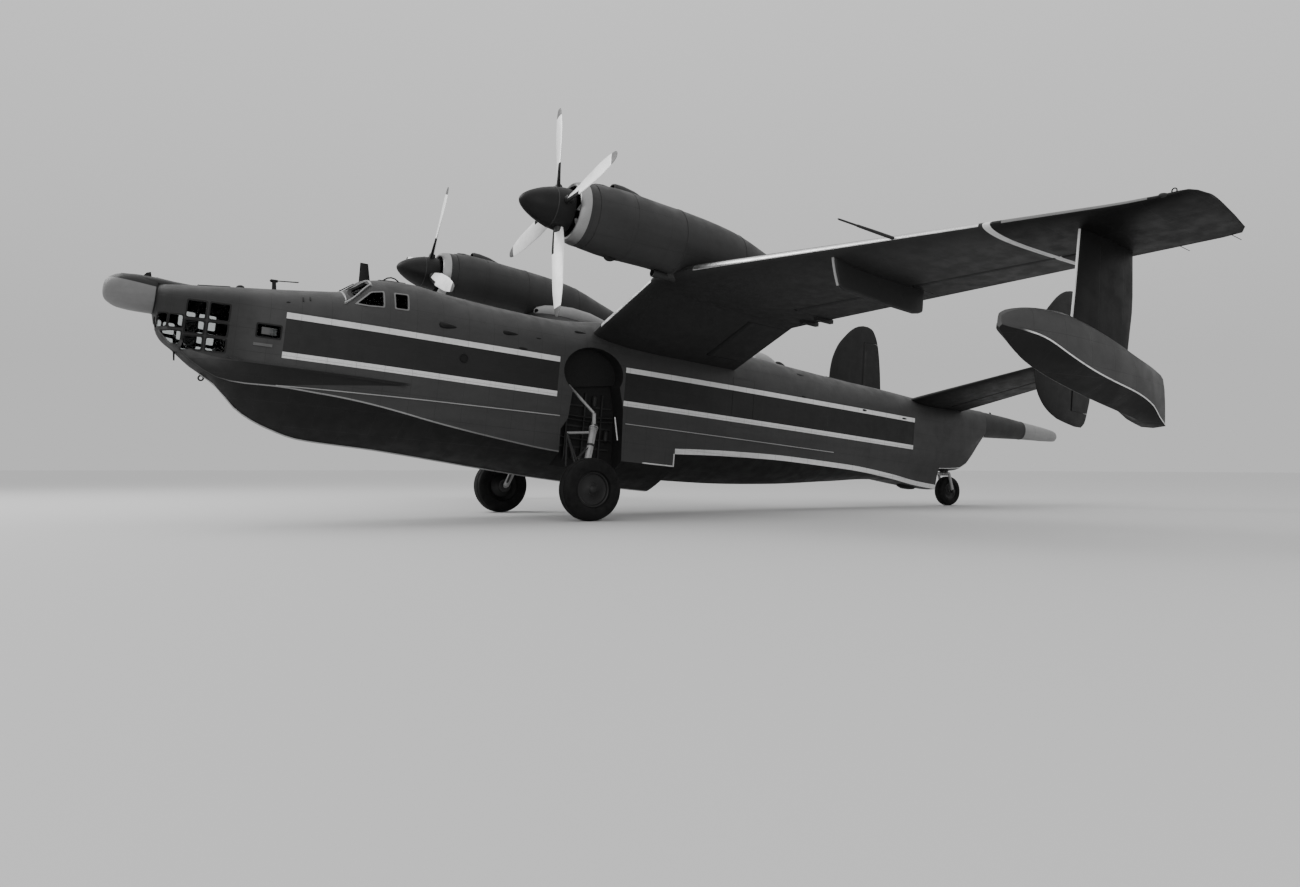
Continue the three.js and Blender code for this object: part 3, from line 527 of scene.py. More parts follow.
def hull_pattern(sh, x, s, w, base):
    along = sh.math("MAXIMUM", *(sh.inside(s, a, b, 0.006) for a, b in STRIPE_RUNS))
    color = sh.mix(sh.product(along, sh.inside(w, STRIPES[1][1], STRIPES[0][0])), base, BAND_GREY)
    for lo, hi in STRIPES:
        color = sh.mix(sh.product(along, sh.inside(w, lo, hi)), color, STRIPE)
    # Painted shade: the hollow between the crease and the rub strake faces down and is painted darker towards
    # the bow
    above = sh.math("SUBTRACT", w, sh.math("MULTIPLY_ADD", s, 0.1185, -1.983))
    flare_painted_shade = sh.product(sh.ramp(w, -1.205, -1.185, 1.0, 0.0), sh.ramp(above, -0.01, 0.01))
    flare_painted_shade = sh.product(flare_painted_shade, sh.inside(s, 1.45, 6.15, 0.12), 0.95)
    color = sh.mix(flare_painted_shade, color, grey(0.09))
    # and the nose around its windows is painted darker than the side behind it, as painted shade
    return sh.mix(sh.ramp(s, 2.35, 3.10, 0.55, 0.0), color, grey(0.11))


def wing_pattern(sh, x, s, w, base):
    slant = sh.product(sh.math("SUBTRACT", s, 12.6), 0.10)
    edge = sh.math("SUBTRACT", sh.math("ABSOLUTE", x), slant)
    color = sh.mix(sh.ramp(edge, 11.64, 11.66), base, TIP_DARK)
    return sh.mix(sh.inside(edge, 11.52, 11.65), color, STRIPE)


def chine_pattern(sh, x, s, w, base):
    # On the hull the pale line starts behind the bow, dulls towards the wheel bay and is faint
    # between the bay and the step; on the floats it starts behind the nose
    far = sh.ramp(sh.math("ABSOLUTE", x), 9.0, 10.0)
    near = sh.math("SUBTRACT", 1.0, far)
    bow = sh.ramp(s, 2.30, 2.90, 1.0, 0.0)
    bay = sh.product(sh.inside(s, 11.66, 12.36, 0.03), near)
    float_nose = sh.product(sh.ramp(s, 11.80, 12.00, 1.0, 0.0), far)
    dull = sh.product(sh.ramp(s, 12.2, 12.3, 1.0, 0.0), near, 0.72)
    worn = sh.product(sh.inside(s, 7.4, 11.7, 1.1), near, 0.7)
    color = sh.mix(worn, sh.mix(dull, base, grey(0.38)), grey(0.36))
    return sh.mix(sh.math("MAXIMUM", sh.math("MAXIMUM", bow, bay), float_nose), color, grey(0.24))


def radome_pattern(sh, x, s, w, base):
    # The dark cap follows the top of the radome and comes lower towards its rear
    edge = sh.math("SUBTRACT", w, sh.product(sh.math("SUBTRACT", 0.9, s), 0.10))
    return sh.mix(sh.ramp(edge, 0.168, 0.18), base, grey(0.12))


M_HULL = paint_material("hull_plating", HULL_GREY, 0.5, HULL_PLATES, hull_pattern)
# Painted shade: this material paints the undersides of the hull and floats dark
M_SHADED_BOTTOM = paint_material("hull_bottom_painted_shade", SHADED_BOTTOM, 0.55, HULL_PLATES)
M_CHINE = paint_material("chine_stripe", STRIPE, 0.5, HULL_PLATES, chine_pattern)
M_WING = paint_material("wing_plating", WING_GREY, 0.5, WING_PLATES, wing_pattern, flat=True)
M_TAIL = paint_material("tail_plating", grey(0.105), 0.5, (0.55, 0.5))
M_NACELLE = paint_material("nacelle_plating", grey(0.20), 0.48, (0.95, 0.7))
M_FLOAT = paint_material("float_plating", grey(0.25), 0.45, (0.6, 0.4))
M_DARK = paint_material("dark_paint", DARK)
M_BOOM = paint_material("boom_plating", grey(0.19), 0.5, HULL_PLATES)
M_BOOM_TIP = paint_material("pale_paint", grey(0.55), 0.45, (0.9, 0.9))
M_RADOME = paint_material("radome_shell", grey(0.46), 0.5, pattern=radome_pattern)
M_TRIM = paint_material("pale_trim", grey(0.62), 0.45)
M_FAINT = paint_material("faint_trim", grey(0.46))
# This pale grey paints the nose step, and also the panels behind the rear nose windows as a painted highlight
M_STEP_AND_PANE_HIGHLIGHT = paint_material("step_trim_and_pane_highlight", grey(0.36))
M_WHITE = paint_material("white_line", STRIPE)


def metal_material(name, tone, rough, metal=1.0):
    sh = Shader(name)
    brushed = sh.noise(6.0, 6, 0.7, (1, 14, 14))
    color = sh.scaled(tone, sh.ramp(brushed, 0.3, 0.7, 0.86, 1.08))
    stains = sh.ramp(sh.noise(1.3, 5, 0.65), 0.45, 0.75, 0.0, 0.35)
    color = sh.mix(stains, color, tuple(c * 0.45 for c in tone))
    roughness = sh.ramp(sh.noise(4.0, 5), 0.3, 0.7, rough - 0.06, rough + 0.12)
    return sh.done(color, roughness, metal, sh.bump(brushed, 0.05, 0.002))


M_METAL = metal_material("bare_metal", grey(0.62), 0.38)
M_EDGE = metal_material("polished_edge", grey(0.84), 0.3)
M_GEAR = metal_material("gear_enamel", grey(0.60), 0.42, 0.35)
M_ENGINE = metal_material("engine_metal", grey(0.34), 0.45, 0.8)
M_STEEL = metal_material("dark_steel", grey(0.22), 0.5, 0.6)
M_HUB = metal_material("hub_enamel", grey(0.09), 0.5, 0.2)
M_STRUCTURE = metal_material("bay_structure", grey(0.15), 0.6, 0.3)


def blade_material():
    """Pale blades whose tips are dark, told apart by their distance from each hub."""
    sh = Shader("blade_paint")
    x, _, w = sh.level()
    side = sh.math("SUBTRACT", sh.math("ABSOLUTE", x), NACELLE_X)
    fall = sh.math("SUBTRACT", w, HUB_W)
    radius = sh.math("SQRT", sh.math("ADD", sh.product(side, side), sh.product(fall, fall)))
    fine = sh.ramp(sh.noise(5.0, 6, 0.7), 0.3, 0.7, 0.9, 1.04)
    color = sh.mix(sh.ramp(radius, 2.26, 2.27), sh.scaled(grey(0.95), fine), grey(0.27))
    color = sh.mix(sh.ramp(sh.noise(14, 6, 0.7), 0.62, 0.8, 0, 0.3), color, grey(0.5))
    return sh.done(color, sh.ramp(sh.noise(3, 4), 0.3, 0.7, 0.34, 0.5), 0.25)


def rubber_material():
    sh = Shader("tyre_rubber")
    dust = sh.ramp(sh.noise(3.0, 6, 0.7), 0.4, 0.8, 0.0, 0.4)
    color = sh.mix(dust, grey(0.05), grey(0.13, 0.03))
    roughness = sh.ramp(sh.noise(7, 4), 0.3, 0.7, 0.72, 0.9)
    return sh.done(color, roughness, 0.0, sh.bump(sh.noise(60, 3), 0.15, 0.003))


def glass_material():
    sh = Shader("window_glass")
    b = sh.bsdf
    b.inputs["Base Color"].default_value = (0.78, 0.8, 0.8, 1)
    b.inputs["Transmission Weight"].default_value = 1.0
    b.inputs["IOR"].default_value = 1.05
    sh.link(sh.ramp(sh.noise(7, 5, 0.6), 0.3, 0.8, 0.03, 0.14), b.inputs["Roughness"])
    return sh.mat


def dial_material():
    sh = Shader("dial_faces")
    return sh.done(sh.mix(sh.ramp(sh.noise(30, 4), 0.4, 0.6), grey(0.72), grey(0.5)), 0.3)


def cloth_material(name, tone, rough, scale):
    sh = Shader(name)
    grain = sh.noise(scale, 6, 0.75)
    dim, bright = (tuple(c * k for c in tone) for k in (0.8, 1.15))
    return sh.done(sh.mix(sh.ramp(grain, 0.3, 0.7), dim, bright), rough, 0.0, sh.bump(grain, 0.4, 0.004))


M_BLADE = blade_material()
M_RUBBER = rubber_material()
M_GLASS = glass_material()
M_DIAL = dial_material()
M_BAY = cloth_material("bay_lining", grey(0.115), 0.8, 20)
M_SEAT = cloth_material("seat_hide", grey(0.22, 0.06), 0.62, 55)
M_PANEL = cloth_material("cockpit_paint", grey(0.19), 0.7, 90)
M_INSIDE = cloth_material("cabin_lining", grey(0.17), 0.8, 12)

# Hull
# columns: s, deck, shoulder, half width, crease half width, crease, chine half width, chine, keel
HULL = [
    (0.985, 0.295, -0.040, 0.430, 0.400, -0.250, 0.330, -0.320, -0.370),
    (1.060, 0.305, -0.060, 0.540, 0.500, -0.440, 0.330, -0.590, -0.680),
    (1.180, 0.315, -0.080, 0.640, 0.600, -0.620, 0.380, -0.790, -0.880),
    (1.400, 0.335, -0.100, 0.740, 0.700, -0.800, 0.420, -0.960, -1.040),
    (1.800, 0.385, -0.120, 0.860, 0.830, -1.100, 0.330, -1.260, -1.350),
    (2.300, 0.450, -0.140, 0.960, 0.950, -1.170, 0.330, -1.520, -1.640),
    (2.850, 0.520, -0.150, 1.050, 1.040, -1.175, 0.620, -1.610, -2.160),
    (3.400, 0.590, -0.150, 1.120, 1.110, -1.180, 0.830, -1.610, -2.430),
    (4.200, 0.705, -0.150, 1.180, 1.180, -1.190, 1.010, -1.660, -2.640),
    (4.660, 0.780, -0.140, 1.205, 1.205, -1.200, 1.070, -1.690, -2.665),
    (5.180, 1.140, -0.130, 1.230, 1.230, -1.215, 1.120, -1.740, -2.680),
    (5.700, 1.230, -0.120, 1.245, 1.245, -1.230, 1.160, -1.810, -2.695),
    (6.300, 1.252, -0.110, 1.248, 1.248, -1.245, 1.182, -1.905, -2.728),
    (6.800, 1.195, -0.100, 1.250, 1.250, -1.260, 1.200, -1.990, -2.760),
    (8.400, 1.085, -0.080, 1.250, 1.250, -1.330, 1.230, -2.200, -2.870),
    (9.800, 1.045, -0.080, 1.250, 1.250, -1.400, 1.240, -2.335, -2.960),
    (10.600, 1.100, -0.080, 1.250, 1.250, -1.420, 1.240, -2.370, -2.995),
    (11.500, 1.220, -0.080, 1.250, 1.250, -1.440, 1.240, -2.400, -3.030),
    (13.310, 1.215, -0.090, 1.245, 1.245, -1.440, 1.230, -2.400, -3.050),
]
AFT_HULL = [
    (13.310, 1.215, -0.090, 1.245, 1.245, -1.300, 1.215, -2.065, -2.740),
    (15.000, 1.130, -0.110, 1.200, 1.200, -1.230, 1.150, -1.955, -2.690),
    (17.440, 0.970, -0.130, 1.090, 1.090, -1.150, 1.010, -1.878, -2.510),
    (19.600, 0.850, -0.130, 0.950, 0.940, -1.100, 0.830, -1.885, -2.250),
    (21.550, 0.780, -0.120, 0.790, 0.770, -1.100, 0.610, -1.980, -2.040),
    (22.850, 0.710, -0.100, 0.670, 0.640, -1.150, 0.430, -2.095, -2.110),
    (23.850, 0.690, -0.060, 0.570, 0.530, -1.250, 0.330, -2.140, -2.155),
]
TAIL_HULL = [
    (23.800, 0.691, -0.062, 0.575, 0.533, -0.905, 0.332, -1.484, -1.565),
    (25.050, 0.680, 0.040, 0.450, 0.420, -0.700, 0.260, -1.340, -1.420),
    (26.120, 0.675, 0.160, 0.350, 0.340, -0.080, 0.260, -0.190, -0.240),
]
DECK_N, SIDE_N, FLARE_N, BOTTOM_N = 14, 4, 6, 6


def hull_side(row, inset=0.0, stripe=0.0):
    """Points of one half section from the deck's centre to the chine, then the bottom to the keel."""
    s, deck, shoulder, half, crease_half, crease, chine_half, chine, keel = row
    side = []
    for i in range(DECK_N + 1):
        a = math.pi / 2 * i / DECK_N
        rise = (deck - inset - shoulder) * math.cos(a) ** 0.9
        side.append(((half - inset) * math.sin(a) ** 0.9, shoulder + rise))
    for i in range(1, SIDE_N + 1):
        t = i / SIDE_N
        side.append((half + (crease_half - half) * t - inset, shoulder + (crease - shoulder) * t))
    hollow = 0.16 * (crease_half - chine_half)
    a, b = np.array((crease_half - inset, crease)), np.array((chine_half - inset, chine + inset * 0.6))
    length = np.linalg.norm(b - a)
    last = 1 - min(0.6, stripe / max(length, 0.01))
    for t in [last * i / (FLARE_N - 1) for i in range(1, FLARE_N)] + [1.0]:
        p = a + (b - a) * t
        side.append((p[0] - 4 * hollow * t * (1 - t), p[1]))
    bottom = []
    for i in range(1, BOTTOM_N + 1):
        t = 1 - i / BOTTOM_N
        rise = 0.68 * t + 0.32 * t * t
        bottom.append(((chine_half - inset) * t, keel + inset + (chine + inset * 0.6 - keel - inset) * rise))
    return side, bottom


def hull_ring(row, inset=0.0, stripe=0.0):
    side, bottom = hull_side(row, inset, stripe)
    port = [(x, row[0], w) for x, w in side + bottom]
    star = [(-x, s, w) for x, s, w in reversed(port[1:-1])]
    return port + star


SIDE_COUNT = DECK_N + SIDE_N + FLARE_N
STRIPE_WIDTH = 0.05
HULL_SLOTS = [0] * (SIDE_COUNT - 1) + [2] + [1] * BOTTOM_N
NOSE_STEP, HULL_STEP, RIM_STEP = (1.5, 0.05), 0.3, 0.15


def hull_loft(name, rows, inset=0.0, stripe=STRIPE_WIDTH, mats=(M_HULL, M_SHADED_BOTTOM, M_CHINE), step=HULL_STEP):
    rings = [hull_ring(row, inset, stripe) for row in dense(rows, step, NOSE_STEP)]
    return loft(name, rings, mats, HULL_SLOTS + HULL_SLOTS[::-1])


def hull_row(s):
    table = np.array(HULL if s <= 13.31 else (AFT_HULL if s <= 23.85 else TAIL_HULL))
    return (s, *map(float, pchip(table[:, 0], table[:, 1:], [s])[0]))


def crossing(points, value, column):
    """The other coordinate where a falling or rising run of (x, w) points passes value, or None."""
    for a, b in zip(points, points[1:]):
        lo, hi = sorted((a[column], b[column]))
        if lo <= value <= hi:
            share = (value - a[column]) / (b[column] - a[column] or 1e-9)
            return a[1 - column] + (b[1 - column] - a[1 - column]) * share
    return None


def skin_x(s, w):
    """Half width of the hull's side at height w."""
    side, _ = hull_side(hull_row(s))
    x = crossing(side, w, 1)
    if x is None:
        return side[-1][0] if w < side[-1][1] else 0.0
    return x


def skin_w(s, x):
    """Height of the hull's top at distance x from the middle line."""
    side, _ = hull_side(hull_row(s))
    w = crossing(side[:DECK_N + 1], x, 0)
    return side[-1][1] if w is None else w


def on_side(s, w):
    """A point of the port side and the outward normal there."""
    e = 0.02
    along = (skin_x(s + e, w) - skin_x(s - e, w)) / (2 * e)
    rise = (skin_x(s, w + e) - skin_x(s, w - e)) / (2 * e)
    return Vector((skin_x(s, w), s, w)), Vector((1, -along, -rise)).normalized()


def on_top(s, x):
    """A point of the hull's top and the outward normal there."""
    e, far = 0.02, abs(x)
    across = (skin_w(s, far + e) - skin_w(s, max(far - e, 0))) / (2 * e if far > e else far + e)
    along = (skin_w(s + e, far) - skin_w(s - e, far)) / (2 * e)
    normal = Vector((-math.copysign(across, x) if x else 0, -along, 1)).normalized()
    return Vector((x, s, skin_w(s, far))), normal


def side_line(w0, w1, s, count):
    return [on_side(s, w) for w in np.linspace(w0, w1, count)]


def top_line(s0, s1, x, count):
    return [on_top(s, x) for s in np.linspace(s0, s1, count)]


def cross_line(x0, x1, s, count):
    return [on_top(s, x) for x in np.linspace(x0, x1, count)]


def ribbon(name, spots, width, lift, sink=0.012, mats=(), closed=False):
    """A flat strip along surface spots (point, normal); width may be one number or one for each spot."""
    n = len(spots)
    rings = []
    for k, (p, normal) in enumerate(spots):
        before = spots[k - 1][0] if k or closed else p
        after = spots[(k + 1) % n][0] if k + 1 < n or closed else p
        across = normal.cross((after - before).normalized()).normalized()
        half = (width[k] if isinstance(width, (list, tuple)) else width) / 2
        bevel = half - 0.003
        rings.append([p - across * half - normal * sink, p - across * bevel + normal * lift,
                      p + across * bevel + normal * lift, p + across * half - normal * sink])
    return ring_body(name, rings, mats) if closed else loft(name, rings, mats)


def blister(name, spot, along, length, wide, high, mats, nose=0.45, sides=14, rows=12):
    """A streamlined bump on a surface, longest along the airflow."""
    p, normal = spot
    along = (along - normal * along.dot(normal)).normalized()
    across = normal.cross(along)
    rings = []
    for k in range(rows + 1):
        t = k / rows
        fat = math.sin(math.pi * t ** (0.5 + nose * 0.6)) ** 0.6 if 0 < k < rows else 0.04
        centre = p + along * (length * (t - 0.5)) - normal * 0.01
        rings.append([centre + across * (c * wide / 2 * fat) + normal * (max(d, -0.25) * high * fat)
                      for c, d in turns(sides)])
    return loft(name, rings, mats)


def follow(points, count, spot):
    """Surface spots along a polyline given in the surface's own two numbers."""
    pts = np.array(points, float)
    run = run_length(pts)
    grid = np.linspace(0, run[-1], count)
    return [spot(float(np.interp(g, run, pts[:, 0])), float(np.interp(g, run, pts[:, 1]))) for g in grid]


def cavity(name, s0, s1, w0, inset):
    room = hull_loft(name, HULL, inset, mats=(M_INSIDE,) * 3)
    return within(room, box("room", (-3, s0, w0), (3, s1, 9), (M_INSIDE,)))


SKIN = 0.055
NOSE_ROOM = (1.090, 3.400, -1.250)
COCKPIT_ROOM = (4.610 + SKIN, 6.640, -0.560)


def rounded(outline, radius=0.04, steps=3):
    """An outline with its corners rounded."""
    out = []
    n = len(outline)
    for i in range(n):
        p, a, b = (Vector(outline[k]) for k in (i, i - 1, (i + 1) % n))
        da, db = (a - p), (b - p)
        r = min(radius, da.length * 0.45, db.length * 0.45)
        p0, p1 = p + da.normalized() * r, p + db.normalized() * r
        for k in range(steps + 1):
            t = k / steps
            out.append(tuple((1 - t) ** 2 * p0 + 2 * t * (1 - t) * p + t * t * p1))
    return out


def grown(outline, by):
    """A convex outline moved outward by a distance."""
    centre = sum((Vector(p) for p in outline), Vector((0, 0))) / len(outline)
    out = []
    for i, point in enumerate(outline):
        p, a, b = Vector(point), Vector(outline[i - 1]), Vector(outline[(i + 1) % len(outline)])
        normals = []
        for d in ((p - a).normalized(), (b - p).normalized()):
            m = Vector((d.y, -d.x))
            normals.append(-m if m.dot(p - centre) < 0 else m)
        between = (normals[0] + normals[1]).normalized()
        out.append(tuple(p + between * by / max(0.4, between.dot(normals[0]))))
    return out


def rect(a0, a1, b0, b1):
    return [(a0, b0), (a1, b0), (a1, b1), (a0, b1)]


# Windows: outlines in (s, w) seen from the side, or in (x, w) seen from ahead
NOSE_GRID = [rect(a, b, c, d) for a, b in ((1.54, 1.88), (1.96, 2.32))
             for c, d in ((-0.40, -0.06), (-0.72, -0.47), (-1.05, -0.79))]
NOSE_REAR = [rect(2.88, 3.34, -0.62, -0.36)]
NOSE_CORNER = [rect(1.25, 1.485, -0.640, -0.385), rect(1.04, 1.205, -0.635, -0.375),
               [(1.115, -0.715), (1.485, -0.715), (1.485, -0.955), (1.33, -0.935)]]
NOSE_FRONT = [rect(0.06, 0.26, -0.64, -0.42)]
COCKPIT_SIDE = [
    [(4.87, 0.425), (5.17, 0.735), (5.43, 0.795), (5.425, 0.440), (5.10, 0.415)],
    [(5.70, 0.455), (5.70, 0.805), (5.985, 0.820), (5.975, 0.465)],
]
COCKPIT_FRONT = [
    [(0.035, 0.84), (0.035, 1.10), (0.40, 1.045), (0.40, 0.80)],
    [(0.455, 0.805), (0.455, 1.03), (0.66, 0.965), (0.90, 0.615), (0.925, 0.555)],
]


def windows(outlines, axis, near, far):
    """Each window is its outline, the axis it is cut along, and where the cut begins and ends."""
    return [(outline, axis, near, far) for outline in outlines]


GRID_WINDOWS = windows(NOSE_GRID, 0, 0.35, 1.5) + windows(NOSE_REAR, 0, 0.7, 1.5)
CORNER_WINDOWS = windows(NOSE_CORNER, 0, 0.24, 1.5)
NOSE_WINDOWS = GRID_WINDOWS + CORNER_WINDOWS + windows(NOSE_FRONT, 1, 0.9, 1.52)
SIDE_WINDOWS = windows(COCKPIT_SIDE, 0, 0.5, 1.5)
SCREEN_WINDOWS = windows(COCKPIT_FRONT, 1, 4.5, 5.25)
CORNER_RADIUS = {0: 0.04, 1: 0.03}


def both_sides(tool):
    return [tool, mirrored(tool, tool.name + "_twin")]


def cutters(openings, grow_by=0.0, soft=True, mats=()):
    """Blocks on both sides that cut or fill windows; soft ones have rounded corners."""
    tools = []
    for outline, axis, near, far in openings:
        shape = grown(outline, grow_by)
        shape = rounded(shape, CORNER_RADIUS[axis]) if soft else shape
        tools += both_sides(prism("window", shape, axis, near, far, mats))
    return tools


# Wheel and leg bays: the wheel's is an oval (s, w, half length, half height, depth)
WHEEL_BAY = (10.76, -0.31, 0.83, 0.64, 0.42)
LEG_BAY = [(10.22, -0.70), (10.15, -1.50), (9.98, -1.78), (10.02, -3.60), (11.80, -3.60), (11.66, -1.10),
           (11.50, -0.50)]
LEG_BAY_DEPTH = 0.52
HALF_WIDTH = 1.25


def bay_tools():
    s, w, along, up, depth = WHEEL_BAY
    oval = [(s + along * c, w + up * d) for c, d in turns(40)]
    wheel = prism("bay", oval, 0, HALF_WIDTH - depth, 1.7, (M_BAY,))
    leg = prism("bay", LEG_BAY, 0, HALF_WIDTH - LEG_BAY_DEPTH, 1.7, (M_BAY,))
    return both_sides(wheel) + both_sides(leg)


hull_fore = hull_loft("hull_fore", HULL, stripe=0.034)
for room in (NOSE_ROOM, COCKPIT_ROOM):
    cut(hull_fore, cavity("room", *room, SKIN))
cut(hull_fore, *cutters(NOSE_WINDOWS + SIDE_WINDOWS + SCREEN_WINDOWS, mats=(M_INSIDE,)), *bay_tools())
place(hull_fore, stands_for=("nose_shell", "hull_forward", "canopy_frame", "hull_centre"), slot="hull_paint")
hull_after = hull_loft("hull_after", AFT_HULL, stripe=0.143)
combine(hull_after, hull_loft("hull_tail", TAIL_HULL, stripe=0.02), "UNION")
place(hull_after, stands_for=("hull_aft", "hull_tail"), slot="hull_paint")

# Frames, stringers, pipes and bottles in the wheel bay
BAY_WALL = 0.70
RIB_OUTLINE = [(BAY_WALL, -0.78), (0.80, -0.78), (0.80, -2.40), (BAY_WALL, -2.56)]
ribs = [prism("rib", RIB_OUTLINE, 1, s - 0.02, s + 0.02, (M_STRUCTURE,)) for s in (10.34, 10.82, 11.30)]
ribs += [box("stringer", (BAY_WALL, 10.10, w - 0.02), (0.765, 11.60, w + 0.02), (M_STRUCTURE,))
         for w in (-1.10, -1.62, -2.14)]
ribs += [tube("pipe", [(x, 10.08, w), (x, 10.9, w - 0.02), (x, 11.62, w + 0.03)], r, 12, (M_STRUCTURE,))
         for x, w, r in ((0.80, -1.36, 0.022), (0.83, -1.46, 0.014), (0.80, -1.92, 0.018))]
ribs += [tube("bottle", [(0.82, s, w + up) for up in (-0.14, -0.11, 0.11, 0.14)], 0.06, 18, (M_STRUCTURE,),
              radii=[0.03, 0.06, 0.06, 0.03]) for s, w in ((10.58, -2.30), (11.06, -0.96), (11.46, -1.80))]
place_pair(ribs, "bay_frames", slot="dark_trim", weighted=False)


# Cabin furniture: seats on rails, the navigator's place, instrument board with columns
def cushion(name, lo, hi, r, mats):
    """A padded block with rounded edges."""
    (x0, y0, z0), (x1, y1, z1) = lo, hi
    rings = []
    low = [(z0 + r * up, r * inset) for up, inset in ((0, 1), (0.3, 0.3), (1, 0))]
    high = [(z1 - r * down, r * inset) for down, inset in ((1, 0), (0.3, 0.3), (0, 1))]
    for z, inset in low + high:
        outline = rounded(rect(x0 + inset, x1 - inset, y0 + inset, y1 - inset), 0.05, 3)
        rings.append([(x, y, z) for x, y in outline])
    return loft(name, rings, mats)


def seat(x, s, floor):
    """A padded seat with arms, belts, legs and slides, facing the bow."""
    def span(half, front, rear, low, high):
        return (x - half, s + front, floor + low), (x + half, s + rear, floor + high)

    parts = [cushion("pan", *span(0.21, -0.22, 0.20, 0.27, 0.40), 0.04, (M_SEAT,)),
             cushion("back", *span(0.20, 0.19, 0.30, 0.36, 0.86), 0.04, (M_SEAT,)),
             cushion("head", *span(0.13, 0.20, 0.29, 0.89, 1.07), 0.03, (M_SEAT,)),
             box("frame", *span(0.19, 0.285, 0.315, 0.30, 0.98), (M_PANEL,))]
    for side in (-1, 1):
        arm, leg, foot, belt = (x + side * d for d in (0.20, 0.15, 0.17, 0.10))
        arm_low, arm_high = (arm - 0.03, s - 0.16, floor + 0.56), (arm + 0.03, s + 0.24, floor + 0.61)
        parts.append(cushion("arm", arm_low, arm_high, 0.02, (M_SEAT,)))
        parts.append(tube("stay", [(arm, s - 0.06, floor + 0.34), (arm, s - 0.06, floor + 0.58)], 0.014, 10,
                          (M_STEEL,)))
        for y in (-0.17, 0.17):
            parts.append(tube("leg", [(foot, s + y, floor - 0.01), (leg, s + y, floor + 0.29)], 0.018, 10,
                              (M_STEEL,)))
        parts.append(box("slide", (foot - 0.02, s - 0.22, floor), (foot + 0.02, s + 0.22, floor + 0.03),
                         (M_STEEL,)))
        spots = [(Vector((belt, s + 0.19, floor + h)), Vector((0, -1, 0))) for h in (0.44, 0.60, 0.84)]
        parts.append(ribbon("belt", spots, 0.045, 0.008, mats=(M_TRIM,)))
    return parts


FLOOR, NOSE_FLOOR = COCKPIT_ROOM[2], NOSE_ROOM[2]
PILOT_X, PILOT_S = 0.47, 5.62
pilots = seat(PILOT_X, PILOT_S, FLOOR) + seat(-PILOT_X, PILOT_S, FLOOR)
pilots.append(box("rail", (-0.70, 5.49, FLOOR - 0.01), (0.70, 5.55, FLOOR + 0.04), (M_STEEL,)))
place(merged("pilot_seat_pair", pilots), stands_for=("pilot_seats",), slot="seat")
step = box("step", (-0.23, 1.90, NOSE_FLOOR - 0.01), (0.23, 2.30, NOSE_FLOOR + 0.035), (M_PANEL,))
place(merged("navigator_place", seat(0.0, 2.45, NOSE_FLOOR) + [step]), stands_for=("navigator_seat",),
      slot="seat")


def nose_equipment():
    """Equipment boxes on the middle line, frames inside each wall, and a pale panel inside each wall that is
    a painted highlight for the bright rear window pane.
    """
    parts = [cushion("set", (-0.20, 1.58, -0.96), (0.20, 1.86, -0.66), 0.02, (M_PANEL,)),
             cushion("scope", (-0.13, 1.56, -0.68), (0.13, 1.82, -0.30), 0.03, (M_PANEL,)),
             cushion("locker", (-0.34, 2.98, -1.26), (0.34, 3.34, -0.12), 0.02, (M_PANEL,))]
    # A pale panel behind each rear nose window: painted highlight for the bright pane
    parts += both_sides(box("pane_highlight_panel", (0.93, 2.975, -0.56), (1.03, 3.278, -0.41), (M_STEP_AND_PANE_HIGHLIGHT,)))
    for s in (1.92, 2.38, 2.82):
        for side in (1, -1):
            spots = [(Vector((side * (skin_x(s, w) - 0.07), s, w)), Vector((-side, 0, 0)))
                     for w in np.linspace(-1.22, 0.1, 12)]
            parts.append(ribbon("frame", spots, 0.05, 0.03, 0.03, (M_PANEL,)))
    return merged("nose_equipment", parts)


place(nose_equipment(), slot="panel", weighted=False)

DIAL = [(0, 0), (0, 0.052), (0.014, 0.052), (0.014, 0.044), (0.006, 0.042), (0.006, 0)]


def pilot_controls(side):
    """The post, column, yoke and dials in front of one pilot."""
    x, post = side * PILOT_X, side * 0.70
    column = [(x, 5.12, FLOOR + 0.01), (x, 5.12, 0.31), (x, 5.125, 0.33)]
    parts = [box("post", (post - 0.03, 4.92, FLOOR), (post + 0.03, 4.98, 0.10), (M_PANEL,)),
             box("foot", (x - 0.03, 4.98, FLOOR - 0.005), (x + 0.03, 5.16, FLOOR + 0.03), (M_STEEL,)),
             tube("column", column, 0.022, 16, (M_STEEL,)),
             tube("yoke", [(x + 0.14 * math.cos(a), 5.125, 0.315 + 0.10 * math.sin(a))
                           for a in np.linspace(math.pi + 0.5, -0.5, 15)], 0.015, 10, (M_DARK,)),
             box("hub", (x - 0.05, 5.10, 0.29), (x + 0.05, 5.14, 0.35), (M_DARK,))]
    for w in (0.20, 0.34, 0.47):
        for k in range(4):
            dial = lathe("dial", DIAL, 18, (M_DARK, M_DIAL), [0, 0, 0, 0, 1])
            parts.append(moved(dial, (x + 0.125 * (k - 1.5), 4.984, w)))
    return parts


board = [cushion("board", (-0.76, 4.875, 0.09), (0.76, 4.985, 0.555), 0.015, (M_PANEL,)),
         cushion("pedestal", (-0.15, 4.90, FLOOR - 0.005), (0.15, 5.35, 0.115), 0.02, (M_PANEL,)),
         box("toeboard", (-0.76, 4.90, FLOOR - 0.01), (0.76, 5.00, FLOOR + 0.028), (M_PANEL,))]
board += pilot_controls(-1) + pilot_controls(1)
for x in (-0.06, 0.0, 0.06):
    board.append(tube("lever", [(x, 5.08, 0.10), (x, 5.13, 0.22)], 0.008, 8, (M_STEEL,)))
    board.append(tube("grip", [(x, 5.13, 0.215), (x, 5.137, 0.245)], 0.017, 10, (M_DARK,)))
place(merged("instrument_board", board), stands_for=("instrument_panel",), slot="panel")

